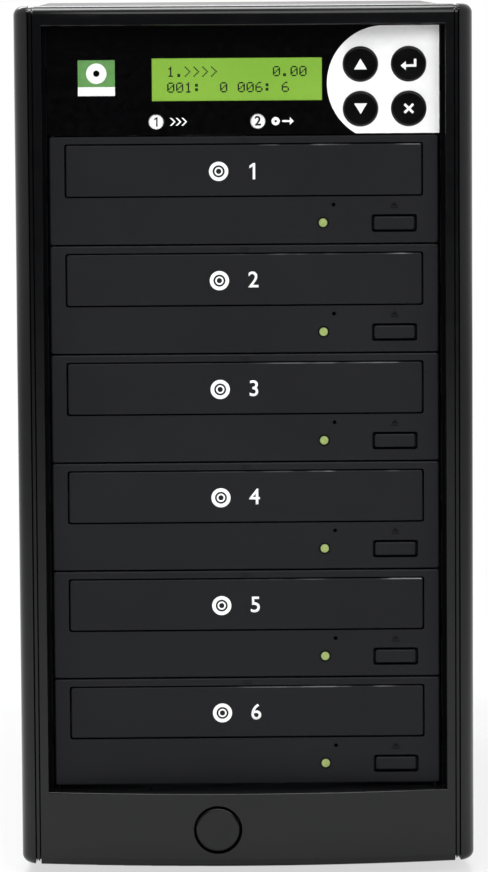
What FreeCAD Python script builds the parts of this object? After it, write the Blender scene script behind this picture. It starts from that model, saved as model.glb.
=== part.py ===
import FreeCAD, Part
import math
import os

# A tower of six optical drives under a control panel, in millimetres.
# +Z is up, the front faces -Y. While building, y = 0 is the plane where the bezel meets the steel case;
# the finished pieces are shifted along Y so that the origin is under the middle of the tower.

# Steel case
sheet = 1.0
bend_radius = 1.5
case_depth = 335.0
cover_inset = 1.0
cover_drop = 1.5
cover_lip = 11.0
foot_height = 5.0
foot_radius = 9.0
foot_taper = 1.5
foot_inset = 22.0
foot_recess_radius = 3.5
foot_recess_depth = 2.4
standoff_height = 8.0
standoff_radius = 3.0

# Screws
screw_radius = 1.5
head_radius = 2.7
head_height = 1.9
head_edge = 0.6
recess_width = 0.8
recess_length = 3.2
recess_depth = 1.1
screw_grip = 0.9
tapped_gap = 0.05
screw_gap = 0.25
head_gap_all_round = 1.0

# Optical drives, half height
drive_count = 6
bay_spacing = 0.5
face_width = 148.6
face_height = 41.3
face_thickness = 4.5
face_corner = 1.0
face_edge = 0.6
face_overhang_x = 1.3
face_overhang_z = 0.25
body_depth = 165.0
body_steel = 0.8
side_hole_setback = 52.3
side_hole_spacing = 79.25
side_hole_height = 10.0
connector_width = 46.0
connector_height = 9.0
connector_depth = 12.0
connector_gap = 0.4
connector_wall = 1.4
connector_share = 0.6
latch_width = 3.0
latch_height = 1.4
latch_depth = 0.4

# Disc tray and its door
disc_diameter = 120.0
small_disc_diameter = 80.0
disc_setback = 67.0
disc_margin = 0.8
pocket_depth = 2.4
small_pocket_depth = 1.3
door_side_margin = 6.3
door_height = 19.6
door_top_margin = 3.3
door_thickness = 3.5
door_gap = 0.5
door_edge = 0.5
tray_side_margin = 3.25
tray_end_gap = 7.2
tray_thickness = 5.8
tray_rise = 6.7
tray_slot_width = 38.0
tray_slot_end = 9.0
slide_gap = 0.3
tray_edge = 0.6
finger_radius = 12.0
finger_angle = 45.0
tab_radius = 4.0
tab_thickness = 1.0
tab_reach = 1.6
tab_angle = 25.0
gusset_depth = 8.0
gusset_thickness = 2.0
gusset_rise = 1.5
gusset_inset = 18.0

# Loader frame, spindle and pickup inside each drive
loader_setback = 10.0
loader_side_gap = 2.0
rail_height = 4.0
rail_ledge = 2.6
rail_foot = 4.0
platform_height = 11.0
platform_thickness = 2.0
spindle_shaft_radius = 1.5
spindle_boss_radius = 11.0
spindle_boss_height = 4.0
running_gap = 0.05
lift_gap = 0.3
turntable_radius = 14.5
turntable_thickness = 2.0
spindle_nose_radius = 7.4
spindle_nose_height = 3.0
pickup_width = 45.0
pickup_length = 20.0
pickup_height = 7.0
pickup_wing = 4.0
pickup_wing_thickness = 2.0
pickup_travel = 36.0
lens_radius = 3.5
lens_height = 1.5

# Eject button, indicator lens and pinhole in a drive face, from its right and lower edges and the door
eject_inset = 16.9
eject_z = 7.6
eject_width = 15.8
eject_height = 5.2
eject_gap = 0.8
eject_edge = 0.7
eject_flange = 1.0
eject_flange_thickness = 1.2
eject_stem = 3.0
led_inset = 44.1
led_z = 7.9
led_radius = 1.7
led_gap = 0.1
led_flange = 0.9
led_flange_thickness = 0.8
pinhole_inset = 40.1
pinhole_drop = 3.6
pinhole_radius = 0.75

# Front bezel
bezel_depth = 30.0
chin_height = 28.6
bow = 7.5
face_recess = 15.5
wall = 2.6
bay_gap = 2.5
frame_strip = 3.1
groove_width = 2.2
slit_width = 0.55
groove_depth = 1.8
bead_drop = 0.35
pillar_width = 5.2
corner_radius = 8.0
edge_radius = 3.4
sill_gap = 1.2
head_gap = 0.4
top_bar_height = 7.5
lip_clearance = 0.8
lip_lead = 1.0
opening_edge = 0.5
snap_slot_height = 10.0
notch_half_width = 1.6
notch_height = 2.2
hook_thickness = 1.7
hook_barb = 0.8
hook_width = 8.0
hook_root = 6.0
hook_nose = 3.0
hook_gap = 0.3

# Power button and the switch behind it
power_x = -11.7
power_rise = 0.3
power_gap = 0.8
power_edge = 0.9
power_flange = 1.4
power_flange_thickness = 1.5
power_room = 1.0
power_boss_wall = 1.6
power_boss_depth = 5.0
power_sink = 0.3
power_travel = 2.5
power_stem_radius = 4.0
switch_size = 13.0
switch_depth = 9.0
plunger_radius = 2.5
plunger_length = 2.0
press_margin = 0.4

# Control panel in the top bay
panel_side_gap = 0.2
fascia_thickness = 3.0
overlay_thickness = 0.5
window_width = 65.2
window_height = 16.6
window_key_gap = 8.0
glass_gap = 0.2
glass_sink = 0.3
lcd_margin = 3.0
lcd_depth = 7.0
key_radius = 6.5
key_gap = 0.3
key_flange = 0.8
key_flange_thickness = 1.2
key_proud = 0.9
key_edge = 0.6
key_stem_radius = 2.4
key_stem = 0.6
key_travel = 0.8
key_margin = 0.1
key_side_margin = 4.5
key_spacing_x = 18.4
key_drop = 2.65
key_spacing_z = 17.0
function_key_radius = 2.8
function_key_inset = 1.7
function_key_margin = 1.4
function_key_spacing = 38.8
function_key_room = 1.1
tact_size = 6.0
tact_plunger_radius = 1.7
tact_plunger = 1.0
board_thickness = 1.6
panel_board_margin = 6.0
panel_board_edge = 2.0
post_radius = 2.6
post_inset = 5.0
arm_thickness = 2.5
arm_length = 52.0
arm_height = 24.0
arm_hole_setback = 24.0
arm_hole_spacing = 20.0

# Controller board
board_width = 140.0
board_front_room = 37.0
board_rear_gap = 30.0
board_hole_inset = 6.0
chip_size = 28.0
chip_height = 2.5
fin_count = 8
fin_thickness = 1.2
fin_height = 6.0
capacitor_count = 5
capacitor_radius = 4.0
capacitor_height = 11.0
capacitor_pitch = 14.0
port_width = 13.0
port_depth = 9.0
port_height = 8.0
port_pitch = 18.0
port_count = 7

# Power supply, mains inlet and rocker switch
supply_height = 86.0
supply_head_gap = 1.1
supply_fan_room = 2.0
supply_front_room = 39.0
supply_border_x = 7.0
supply_border_z = 4.0
supply_hole_x = 3.5
supply_hole_z = 7.0
supply_fan_gap = 5.5
inlet_inset = 30.0
inlet_wall = 1.7
inlet_low_wall = 5.7
inlet_middle_wall = 8.0
inlet_high_wall = 3.3
inlet_depth = 22.0
inlet_flange = 2.6
inlet_flange_thickness = 2.0
socket_width = 24.2
socket_height = 16.6
socket_chamfer = 5.0
socket_depth = 17.0
blade_width = 2.0
blade_height = 4.0
blade_length = 14.0
blade_spacing = 7.0
blade_drop = 2.0
rocker_width = 13.0
rocker_height = 19.0
rocker_gap = 0.7
rocker_nose = 3.9
rocker_ridge = 1.25
rocker_tail = 4.0
rocker_pivot_depth = 5.0
rocker_angle = 8.0
trunnion_radius = 1.5
trunnion_length = 1.8
trunnion_room = 0.3

# Fans
fan_depth = 25.0
fan_corner = 4.0
fan_rim = 1.5
fan_hole_inset = 4.25
fan_hub_radius = 15.5
fan_hub_depth = 15.0
fan_spider_radius = 14.0
fan_spider_thickness = 3.5
fan_strut_width = 4.0
fan_shaft_radius = 1.6
fan_shaft_room = 2.0
fan_tip_gap = 1.2
blade_count = 7
blade_chord_root = 14.0
blade_chord_tip = 22.0
blade_pitch_root = 48.0
blade_pitch_tip = 32.0
blade_thickness = 1.4
case_fan_gap = 34.6
grille_hub = 8.0
grille_rings = 4
grille_web = 2.4
grille_spoke = 4.0

# Vents
vent_length = 46.0
vent_height = 3.2
vent_radius = 1.55
vent_pitch = 8.0
vent_count = 7
rear_vent_z = 34.0
rear_vent_margin = 30.0
side_vent_setback = 236.0
side_vent_z = 60.0

# Places that follow from the sizes above
bay_pitch = face_height + bay_spacing
tower_width = face_width + 2 * (bay_gap + frame_strip + groove_width + pillar_width)
half_width = tower_width / 2
bezel_bottom = foot_height
power_radius = chin_height / 2 - wall - power_room - power_flange - power_gap
bay_bottom = bezel_bottom + chin_height
first_face_z = bay_bottom + sill_gap
panel_z = first_face_z + drive_count * bay_pitch
panel_height = face_height
bay_top = panel_z + panel_height + head_gap
bezel_top = bay_top + top_bar_height
bay_half = face_width / 2 + bay_gap
lip_half = face_width / 2 + lip_clearance
apex_y = -bezel_depth
bow_radius = (bay_half ** 2 + bow ** 2) / (2 * bow)
face_y = apex_y + face_recess
face_back = face_y + face_thickness
body_half = face_width / 2 - face_overhang_x
body_height = face_height - 2 * face_overhang_z
body_rear = face_back + body_depth
disc_y = face_y + disc_setback
cover_half = half_width - cover_inset
inner_half = cover_half - sheet
cover_top = bezel_top - cover_drop
ceiling = cover_top - sheet
plate_top = ceiling - bend_radius
floor_z = foot_height + sheet
rear_y = case_depth - sheet
supply_depth = rear_y - body_rear - supply_front_room
board_depth = rear_y - board_rear_gap - body_rear - board_front_room
cage_top = panel_z + panel_height / 2 + arm_height / 2
groove_x = half_width - pillar_width - groove_width / 2
power_height = bezel_bottom + chin_height / 2 + power_rise
fascia_y = face_y + overlay_thickness
fascia_back = fascia_y + fascia_thickness
panel_half = lip_half - panel_side_gap
panel_board_y = fascia_back + lcd_depth
key_x = panel_half - key_side_margin - key_flange - key_radius - key_spacing_x
key_z = panel_height / 2 - key_drop - key_spacing_z / 2
window_x = key_x - key_radius - window_key_gap - window_width / 2
function_key_x = window_x - window_width / 2 + function_key_inset
function_key_z = function_key_margin + key_flange + function_key_radius
lcd_bottom = function_key_z + function_key_radius + key_flange + function_key_room
window_z = lcd_bottom + lcd_margin + window_height / 2
fan_size = supply_height - 2 * (sheet + supply_fan_room)
fan_bore = fan_size / 2 - fan_rim
fan_hole_spacing = fan_size - 2 * fan_hole_inset
supply_top = cover_top - cover_lip - head_radius - head_gap_all_round + supply_hole_z
supply_z = supply_top - supply_height / 2
supply_half = cover_half - cover_lip - head_radius - supply_head_gap + supply_hole_x
supply_fan_x = fan_size / 2 + supply_fan_gap + sheet - supply_half
case_fan_z = supply_top - supply_height - case_fan_gap - fan_size / 2
rear_vent_count = int((case_fan_z - fan_size / 2 - rear_vent_margin - rear_vent_z) / vent_pitch)
inlet_x = supply_half - inlet_inset
inlet_width = socket_width + 2 * inlet_wall
well_height = rocker_height + 2 * rocker_gap
inlet_height = inlet_low_wall + socket_height + inlet_middle_wall + well_height + inlet_high_wall
socket_z = inlet_low_wall + (socket_height - inlet_height) / 2
rocker_z = (inlet_height - well_height) / 2 - inlet_high_wall
drive_screw_length = sheet + body_steel + screw_grip
middle_y = (case_depth + sheet + head_height - bezel_depth) / 2

# Places inside one drive, measured up from the lower edge of its face
body_bottom = face_overhang_z
drive_floor = body_bottom + body_steel
door_top = face_height - door_top_margin
door_bottom = door_top - door_height
door_half = face_width / 2 - door_side_margin
eject_x = face_width / 2 - eject_inset
led_x = face_width / 2 - led_inset
pinhole_x = face_width / 2 - pinhole_inset
pinhole_z = door_bottom - pinhole_drop
tray_bottom = door_bottom + tray_rise
tray_top = tray_bottom + tray_thickness
ledge_top = tray_bottom - slide_gap
platform_top = drive_floor + platform_height
boss_top = platform_top + spindle_boss_height
loader_half = body_half - body_steel - loader_side_gap
tray_half = door_half - tray_side_margin
tray_rear = body_rear - body_steel - tray_end_gap
window_start = disc_y + max(spindle_boss_radius, turntable_radius) + lift_gap
pickup_start = window_start + slide_gap

left_right = (-1, 1)
x_axis = FreeCAD.Vector(1, 0, 0)
y_axis = FreeCAD.Vector(0, 1, 0)
z_axis = FreeCAD.Vector(0, 0, 1)
over = 1.0


def point(x, y, z):
    return FreeCAD.Vector(x, y, z)


def box(x0, x1, y0, y1, z0, z1):
    return Part.makeBox(x1 - x0, y1 - y0, z1 - z0, point(x0, y0, z0))


def rod_x(radius, x0, x1, y, z):
    return Part.makeCylinder(radius, x1 - x0, point(x0, y, z), x_axis)


def rod_y(radius, x, y0, y1, z):
    return Part.makeCylinder(radius, y1 - y0, point(x, y0, z), y_axis)


def rod_z(radius, x, y, z0, z1):
    return Part.makeCylinder(radius, z1 - z0, point(x, y, z0), z_axis)


def prism(corners, sweep):
    outline = Part.makePolygon(corners + corners[:1])
    return Part.Face(outline).extrude(sweep)


def edges_along(shape, axis):
    return [edge for edge in shape.Edges if abs(abs(edge.tangentAt(edge.FirstParameter).dot(axis)) - 1) < 1e-6
            and edge.Curve.TypeId == "Part::GeomLine"]


def edges_at(shape, axis, place):
    return [edge for edge in shape.Edges
            if all(abs(vertex.Point.dot(axis) - place) < 1e-6 for vertex in edge.Vertexes)]


def edges_along_at(shape, along, place):
    # Straight edges along one axis at one height
    return [edge for edge in edges_along(shape, along) if abs(edge.Vertexes[0].Point.z - place) < 1e-6]


def panel(x0, x1, y0, y1, z0, z1, corner):
    plate = box(x0, x1, y0, y1, z0, z1)
    return plate.makeFillet(corner, edges_along(plate, y_axis))


def soft_panel(x0, x1, y0, y1, z0, z1, corner, edge):
    # A plate in the XZ plane with round corners and a rounded front edge
    plate = panel(x0, x1, y0, y1, z0, z1, corner)
    return plate.makeFillet(edge, edges_at(plate, y_axis, y0))


def joined(shapes):
    return shapes[0].fuse(shapes[1:]).removeSplitter()


def moved(shape, x, y, z):
    copy = shape.copy()
    copy.translate(point(x, y, z))
    return copy


def face_z(drive):
    # Drives are numbered from the top of the tower
    return first_face_z + (drive_count - drive) * bay_pitch


def bow_y(x):
    # Where the bowed front stands at a distance from the tower's middle plane
    return apex_y + bow_radius - math.sqrt(bow_radius ** 2 - x ** 2)


# Front bezel

def bezel_block(inset):
    # The bezel's outer form, or the same form set in by a wall: bowed front, round corners, soft rim
    centre_y = apex_y + bow_radius
    side = half_width - inset
    corner_x = half_width - corner_radius
    corner_y = centre_y - math.sqrt((bow_radius - corner_radius) ** 2 - corner_x ** 2)
    reach = (bow_radius - inset) / (bow_radius - corner_radius)
    meet_x = corner_x * reach
    meet_y = centre_y + (corner_y - centre_y) * reach
    turn = (math.pi + math.atan2(meet_y - corner_y, -(meet_x - corner_x)) % (2 * math.pi)) / 2
    small = corner_radius - inset
    mid_x = corner_x - small * math.cos(turn)
    mid_y = corner_y + small * math.sin(turn)
    low = bezel_bottom + inset
    high = bezel_top - inset
    left_arc = Part.Arc(point(-side, corner_y, low), point(-mid_x, mid_y, low), point(-meet_x, meet_y, low))
    front_arc = Part.Arc(point(-meet_x, meet_y, low), point(0, apex_y + inset, low), point(meet_x, meet_y, low))
    right_arc = Part.Arc(point(meet_x, meet_y, low), point(mid_x, mid_y, low), point(side, corner_y, low))
    edges = [
        Part.makeLine(point(-side, 0, low), point(-side, corner_y, low)),
        left_arc.toShape(),
        front_arc.toShape(),
        right_arc.toShape(),
        Part.makeLine(point(side, corner_y, low), point(side, 0, low)),
        Part.makeLine(point(side, 0, low), point(-side, 0, low)),
    ]
    block = Part.Face(Part.Wire(edges)).extrude(point(0, 0, high - low))
    rim = [edge for place in (low, high) for edge in edges_at(block, z_axis, place)
           if any(vertex.Point.y < -1e-6 for vertex in edge.Vertexes)]
    return block.makeFillet(edge_radius - inset, rim)


def groove_cuts():
    # Two narrow slits beside a low bead, wrapped over the rim of the bezel, with a notch at the lower edge
    slit_floor = bezel_block(groove_depth)
    bead_floor = bezel_block(bead_drop)
    cuts = []
    for side in left_right:
        middle = side * groove_x
        bead = groove_width / 2 - slit_width
        spans = (
            (middle - groove_width / 2, middle - bead, slit_floor),
            (middle - bead, middle + bead, bead_floor),
            (middle + bead, middle + groove_width / 2, slit_floor),
        )
        for x0, x1, floor in spans:
            slab = box(x0, x1, apex_y - over, 0, bezel_bottom - over, bezel_top + over)
            cuts.append(slab.cut(floor))
        corners = [
            point(middle - notch_half_width, apex_y - over, bezel_bottom - over),
            point(middle + notch_half_width, apex_y - over, bezel_bottom - over),
            point(middle, apex_y - over, bezel_bottom + notch_height),
        ]
        cuts.append(prism(corners, point(0, bezel_depth - hook_root, 0)))
    return cuts


def hook_heights():
    reach = (bezel_top - bezel_bottom) / 4
    return (bezel_bottom + reach, bezel_top - reach)


def snap_hook(side, height):
    # A barbed tongue on the side wall that snaps behind the front plate of the case
    root = half_width - wall
    outline = [
        (root, -hook_root),
        (root - hook_barb - hook_thickness, -hook_root),
        (root - hook_barb - hook_thickness, sheet + hook_nose),
        (root - 2 * hook_barb, sheet + hook_nose),
        (root, sheet + hook_gap),
        (root - hook_barb, sheet + hook_gap),
        (root - hook_barb, -hook_gap),
        (root, -hook_gap),
    ]
    corners = [point(side * x, y, height - hook_width / 2) for x, y in outline]
    return prism(corners, point(0, 0, hook_width))


def opening_edges(bezel):
    # The bowed edges of the bay opening, over the chin and under the top bar
    return [edge for place in (bay_bottom, bay_top) for edge in edges_at(bezel, z_axis, place)
            if edge.Curve.TypeId == "Part::GeomCircle" and abs(edge.Curve.Radius - bow_radius) < 1e-3]


def front_bezel():
    outer = bezel_block(0)
    shell = outer.cut(bezel_block(wall))
    tunnel = box(-bay_half - wall, bay_half + wall, apex_y, 0, bay_bottom - wall, bay_top + wall)
    boss = rod_y(power_radius + power_gap + power_boss_wall, power_x, apex_y, apex_y + power_boss_depth, power_height)
    bezel = shell.fuse([tunnel.common(outer), boss.common(outer)])
    bezel = bezel.cut(box(-bay_half, bay_half, apex_y - over, over, bay_bottom, bay_top))
    bezel = bezel.makeFillet(opening_edge, opening_edges(bezel))
    lips = []
    for side in left_right:
        near, far = sorted((side * lip_half, side * bay_half))
        lip = box(near, far, face_y - lip_lead, 0, bay_bottom, bay_top)
        for bay in range(drive_count + 1):
            middle = first_face_z + bay * bay_pitch + face_height / 2
            slot = box(near, far, face_y - lip_lead - over, over, middle - snap_slot_height / 2,
                       middle + snap_slot_height / 2)
            lip = lip.cut(slot)
        lips.append(lip)
    hooks = [snap_hook(side, height) for side in left_right for height in hook_heights()]
    bezel = bezel.fuse(lips + hooks)
    hole = rod_y(power_radius + power_gap, power_x, apex_y - over, 0, power_height)
    return bezel.cut(groove_cuts() + [hole]).removeSplitter()


def power_button():
    front = bow_y(power_x) + power_sink
    seat = apex_y + power_boss_depth
    flange_back = seat + power_flange_thickness
    stem_end = -switch_depth - plunger_length - power_travel - press_margin
    cap = rod_y(power_radius, power_x, front, seat, power_height)
    cap = cap.makeFillet(power_edge, edges_at(cap, y_axis, front))
    flange = rod_y(power_radius + power_gap + power_flange, power_x, seat, flange_back, power_height)
    stem = rod_y(power_stem_radius, power_x, flange_back, stem_end, power_height)
    return joined([cap, flange, stem])


def power_switch():
    half = switch_size / 2
    body = box(power_x - half, power_x + half, -switch_depth, 0, power_height - half, power_height + half)
    plunger = rod_y(plunger_radius, power_x, -switch_depth - plunger_length, -switch_depth, power_height)
    return joined([body, plunger])


# Optical drive, built with the lower edge of its face at z = 0

def drive_face():
    half = face_width / 2
    plate = soft_panel(-half, half, face_y, face_back, 0, face_height, face_corner, face_edge)
    window_half = door_half + door_gap
    window = panel(-window_half, window_half, face_y - over, face_back + over, door_bottom - door_gap,
                   door_top + door_gap, face_corner)
    reach_x = eject_width / 2 + eject_gap
    reach_z = eject_height / 2 + eject_gap
    slot = panel(eject_x - reach_x, eject_x + reach_x, face_y - over, face_back + over, eject_z - reach_z,
                 eject_z + reach_z, face_corner)
    led_hole = rod_y(led_radius + led_gap, led_x, face_y - over, face_back + over, led_z)
    pinhole = rod_y(pinhole_radius, pinhole_x, face_y - over, face_back + over, pinhole_z)
    latch_z = face_height - door_top_margin / 2
    latch = box(-latch_width / 2, latch_width / 2, face_y - over, face_y + latch_depth, latch_z - latch_height / 2,
                latch_z + latch_height / 2)
    return plate.cut([window, slot, led_hole, pinhole, latch])


def drive_housing():
    shell = box(-body_half, body_half, face_back, body_rear, body_bottom, body_bottom + body_height)
    inside = box(-body_half + body_steel, body_half - body_steel, face_back - over, body_rear - body_steel,
                 drive_floor, body_bottom + body_height - body_steel)
    cuts = [inside]
    for place in side_hole_places():
        cuts.append(rod_x(screw_radius + tapped_gap, -body_half - over, body_half + over, place,
                          body_bottom + side_hole_height))
    port = box(-connector_width / 2, connector_width / 2, body_rear - body_steel - over, body_rear + over,
               drive_floor, drive_floor + connector_height)
    return shell.cut(cuts + [port])


def side_hole_places():
    first = face_back + side_hole_setback
    return (first, first + side_hole_spacing)


def tray_door():
    back = face_y + door_thickness
    return soft_panel(-door_half, door_half, face_y, back, door_bottom, door_top, face_corner, door_edge)


def tray_rim_places(reach, angle):
    # Four places round the disc, at an angle to the tray's width
    x = reach * math.cos(math.radians(angle))
    y = reach * math.sin(math.radians(angle))
    return [(side * x, disc_y + way * y) for side in left_right for way in left_right]


def disc_tray():
    # A slab with stepped pockets for two sizes of disc and a slot that clears the spindle and the pickup
    front = face_y + door_thickness
    slab = box(-tray_half, tray_half, front, tray_rear, tray_bottom, tray_top)
    slab = slab.makeFillet(tray_edge, edges_along_at(slab, y_axis, tray_top))
    rim = disc_diameter / 2 + disc_margin
    pocket_floor = tray_top - pocket_depth
    small_floor = pocket_floor - small_pocket_depth
    pocket = rod_z(rim, 0, disc_y, pocket_floor, tray_top + over)
    small_pocket = rod_z(small_disc_diameter / 2 + disc_margin, 0, disc_y, small_floor, tray_top + over)
    fingers = [rod_z(finger_radius, x, y, small_floor, tray_top + over)
               for x, y in tray_rim_places(rim, finger_angle) if y < disc_y]
    tabs = [rod_z(tab_radius, x, y, tray_top - tab_thickness, tray_top)
            for x, y in tray_rim_places(rim + tab_radius - tab_reach, tab_angle)]
    slot_round = rod_z(tray_slot_width / 2, 0, disc_y, tray_bottom - over, tray_top + over)
    slot = box(-tray_slot_width / 2, tray_slot_width / 2, disc_y, tray_rear - tray_slot_end, tray_bottom - over,
               tray_top + over)
    gussets = []
    for side in left_right:
        x = side * (tray_half - gusset_inset) - gusset_thickness / 2
        corners = [point(x, front, door_bottom + gusset_rise), point(x, front, tray_bottom),
                   point(x, front + gusset_depth, tray_bottom)]
        gussets.append(prism(corners, point(gusset_thickness, 0, 0)))
    return joined([slab.cut([pocket, small_pocket, slot_round.fuse(slot)] + fingers)] + tabs + gussets)


def loader_frame():
    # Side rails that carry the tray, joined by a platform with the spindle boss and the pickup's window
    front = face_back + loader_setback
    length = body_rear - body_steel - front
    rail_half = tray_half + slide_gap
    ledge_half = tray_half - rail_ledge
    right = [
        (ledge_half, platform_top),
        (ledge_half, ledge_top),
        (rail_half, ledge_top),
        (rail_half, tray_bottom + rail_height),
        (loader_half, tray_bottom + rail_height),
        (loader_half, drive_floor),
        (loader_half - rail_foot, drive_floor),
        (loader_half - rail_foot, platform_top - platform_thickness),
    ]
    left = [(-x, z) for x, z in reversed(right)]
    profile = [point(x, front, z) for x, z in right + left]
    rails = prism(profile, point(0, length, 0))
    boss = rod_z(spindle_boss_radius, 0, disc_y, platform_top, boss_top)
    bore = rod_z(spindle_shaft_radius + running_gap, 0, disc_y, drive_floor, boss_top + over)
    half = pickup_width / 2 + slide_gap
    window = box(-half, half, window_start, pickup_start + pickup_length + pickup_travel + slide_gap,
                 drive_floor, platform_top + over)
    return rails.fuse([boss, drive_connector()]).cut([bore, window]).removeSplitter()


def drive_connector():
    # A block with a long and a short socket, hung under the platform so that it shows in the housing's port
    half = connector_width / 2 - connector_gap
    low = drive_floor + connector_gap
    high = drive_floor + connector_height - connector_gap
    front = body_rear - connector_depth
    block = box(-half, half, front, body_rear, low, high)
    web = box(-half, half, front, body_rear - body_steel - connector_gap, high, platform_top - platform_thickness)
    split = -half + connector_wall + connector_share * (2 * half - 3 * connector_wall)
    spans = ((-half + connector_wall, split), (split + connector_wall, half - connector_wall))
    sockets = [box(x0, x1, front + connector_wall, body_rear + over, low + connector_wall, high - connector_wall)
               for x0, x1 in spans]
    return block.cut(sockets).fuse(web)


def disc_spindle():
    disc_base = boss_top + lift_gap
    disc_top = disc_base + turntable_thickness
    shaft = rod_z(spindle_shaft_radius, 0, disc_y, platform_top - platform_thickness, disc_base)
    turntable = rod_z(turntable_radius, 0, disc_y, disc_base, disc_top)
    nose = rod_z(spindle_nose_radius, 0, disc_y, disc_top, disc_top + spindle_nose_height)
    nose = nose.makeChamfer(spindle_nose_height / 2, edges_at(nose, z_axis, disc_top + spindle_nose_height))
    return joined([shaft, turntable, nose])


def optical_pickup():
    half = pickup_width / 2
    rear = pickup_start + pickup_length
    top = platform_top + slide_gap + pickup_wing_thickness
    sled = box(-half, half, pickup_start, rear, top - pickup_height, top)
    wings = box(-half - pickup_wing, half + pickup_wing, pickup_start, rear, platform_top + slide_gap, top)
    lens = rod_z(lens_radius, 0, pickup_start + pickup_length / 2, top, top + lens_height)
    return joined([sled, wings, lens])


def eject_button():
    half_x = eject_width / 2
    half_z = eject_height / 2
    grow = eject_gap + eject_flange
    flange_back = face_back + eject_flange_thickness
    cap = soft_panel(eject_x - half_x, eject_x + half_x, face_y, face_back, eject_z - half_z, eject_z + half_z,
                     face_corner, eject_edge)
    flange = box(eject_x - half_x - grow, eject_x + half_x + grow, face_back, flange_back,
                 eject_z - half_z - grow, eject_z + half_z + grow)
    stem = box(eject_x - half_z, eject_x + half_z, flange_back, flange_back + eject_stem, eject_z - half_z,
               eject_z + half_z)
    return joined([cap, flange, stem])


def drive_led():
    pipe = rod_y(led_radius, led_x, face_y, face_back, led_z)
    flange = rod_y(led_radius + led_flange, led_x, face_back, face_back + led_flange_thickness, led_z)
    return joined([pipe, flange])


# Control panel in the top bay

def key_places():
    columns = (key_x, key_x + key_spacing_x)
    rows = (panel_z + key_z + key_spacing_z, panel_z + key_z)
    return {
        "key_up": (columns[0], rows[0], key_radius),
        "key_enter": (columns[1], rows[0], key_radius),
        "key_down": (columns[0], rows[1], key_radius),
        "key_back": (columns[1], rows[1], key_radius),
        "function_key_1": (function_key_x, panel_z + function_key_z, function_key_radius),
        "function_key_2": (function_key_x + function_key_spacing, panel_z + function_key_z, function_key_radius),
    }


def post_places():
    edge = panel_half - panel_board_margin - post_inset
    return (
        (-edge, panel_z + panel_board_edge + post_inset),
        (-edge, panel_z + panel_height - panel_board_edge - post_inset),
        (key_x + key_spacing_x / 2, panel_z + key_z + key_spacing_z / 2),
    )


def arm_hole_places():
    first = fascia_back + arm_hole_setback
    return (first, first + arm_hole_spacing)


def panel_openings(y0, y1):
    half_x = window_width / 2
    half_z = window_height / 2
    middle = panel_z + window_z
    cuts = [box(window_x - half_x, window_x + half_x, y0 - over, y1 + over, middle - half_z, middle + half_z)]
    for x, z, radius in key_places().values():
        cuts.append(rod_y(radius + key_gap, x, y0 - over, y1 + over, z))
    return cuts


def panel_overlay():
    sheet_plate = panel(-panel_half, panel_half, face_y, fascia_y, panel_z, panel_z + panel_height, face_corner)
    return sheet_plate.cut(panel_openings(face_y, fascia_y))


def panel_fascia():
    plate = panel(-panel_half, panel_half, fascia_y, fascia_back, panel_z, panel_z + panel_height, face_corner)
    plate = plate.cut(panel_openings(fascia_y, fascia_back))
    posts = [rod_y(post_radius, x, fascia_back, panel_board_y, z) for x, z in post_places()]
    middle = panel_z + panel_height / 2
    arms = []
    for side in left_right:
        near, far = sorted((side * body_half, side * (body_half - arm_thickness)))
        arm = box(near, far, fascia_back, fascia_back + arm_length, middle - arm_height / 2, middle + arm_height / 2)
        holes = [rod_x(screw_radius + tapped_gap, near - over, far + over, place, middle)
                 for place in arm_hole_places()]
        arms.append(arm.cut(holes))
    bores = [rod_y(screw_radius + tapped_gap, x, fascia_back, panel_board_y + over, z) for x, z in post_places()]
    return plate.fuse(posts + arms).cut(bores)


def lcd_module():
    half_x = window_width / 2 + lcd_margin
    half_z = window_height / 2 + lcd_margin
    middle = panel_z + window_z
    return box(window_x - half_x, window_x + half_x, fascia_back, panel_board_y, middle - half_z, middle + half_z)


def lcd_glass():
    half_x = window_width / 2 - glass_gap
    half_z = window_height / 2 - glass_gap
    middle = panel_z + window_z
    return box(window_x - half_x, window_x + half_x, face_y + glass_sink, fascia_back, middle - half_z,
               middle + half_z)


def key_cap(x, z, radius):
    front = face_y - key_proud
    flange_back = fascia_back + key_flange_thickness
    cap = rod_y(radius, x, front, fascia_back, z)
    cap = cap.makeFillet(key_edge, edges_at(cap, y_axis, front))
    flange = rod_y(radius + key_flange, x, fascia_back, flange_back, z)
    stem = rod_y(min(key_stem_radius, radius), x, flange_back, flange_back + key_stem, z)
    return joined([cap, flange, stem])


def panel_board():
    half = panel_half - panel_board_margin
    low = panel_z + panel_board_edge
    high = panel_z + panel_height - panel_board_edge
    back = panel_board_y + board_thickness
    board = box(-half, half, panel_board_y, back, low, high)
    holes = [rod_y(screw_radius + screw_gap, x, panel_board_y - over, back + over, z) for x, z in post_places()]
    tip = fascia_back + key_flange_thickness + key_stem + key_travel + key_margin
    switches = []
    for x, z, radius in key_places().values():
        reach = tact_size / 2
        body = box(x - reach, x + reach, tip + tact_plunger, panel_board_y, z - min(reach, z - low), z + reach)
        switches.append(body)
        switches.append(rod_y(tact_plunger_radius, x, tip, tip + tact_plunger, z))
    return joined([board.cut(holes)] + switches)


# Steel case

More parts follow.
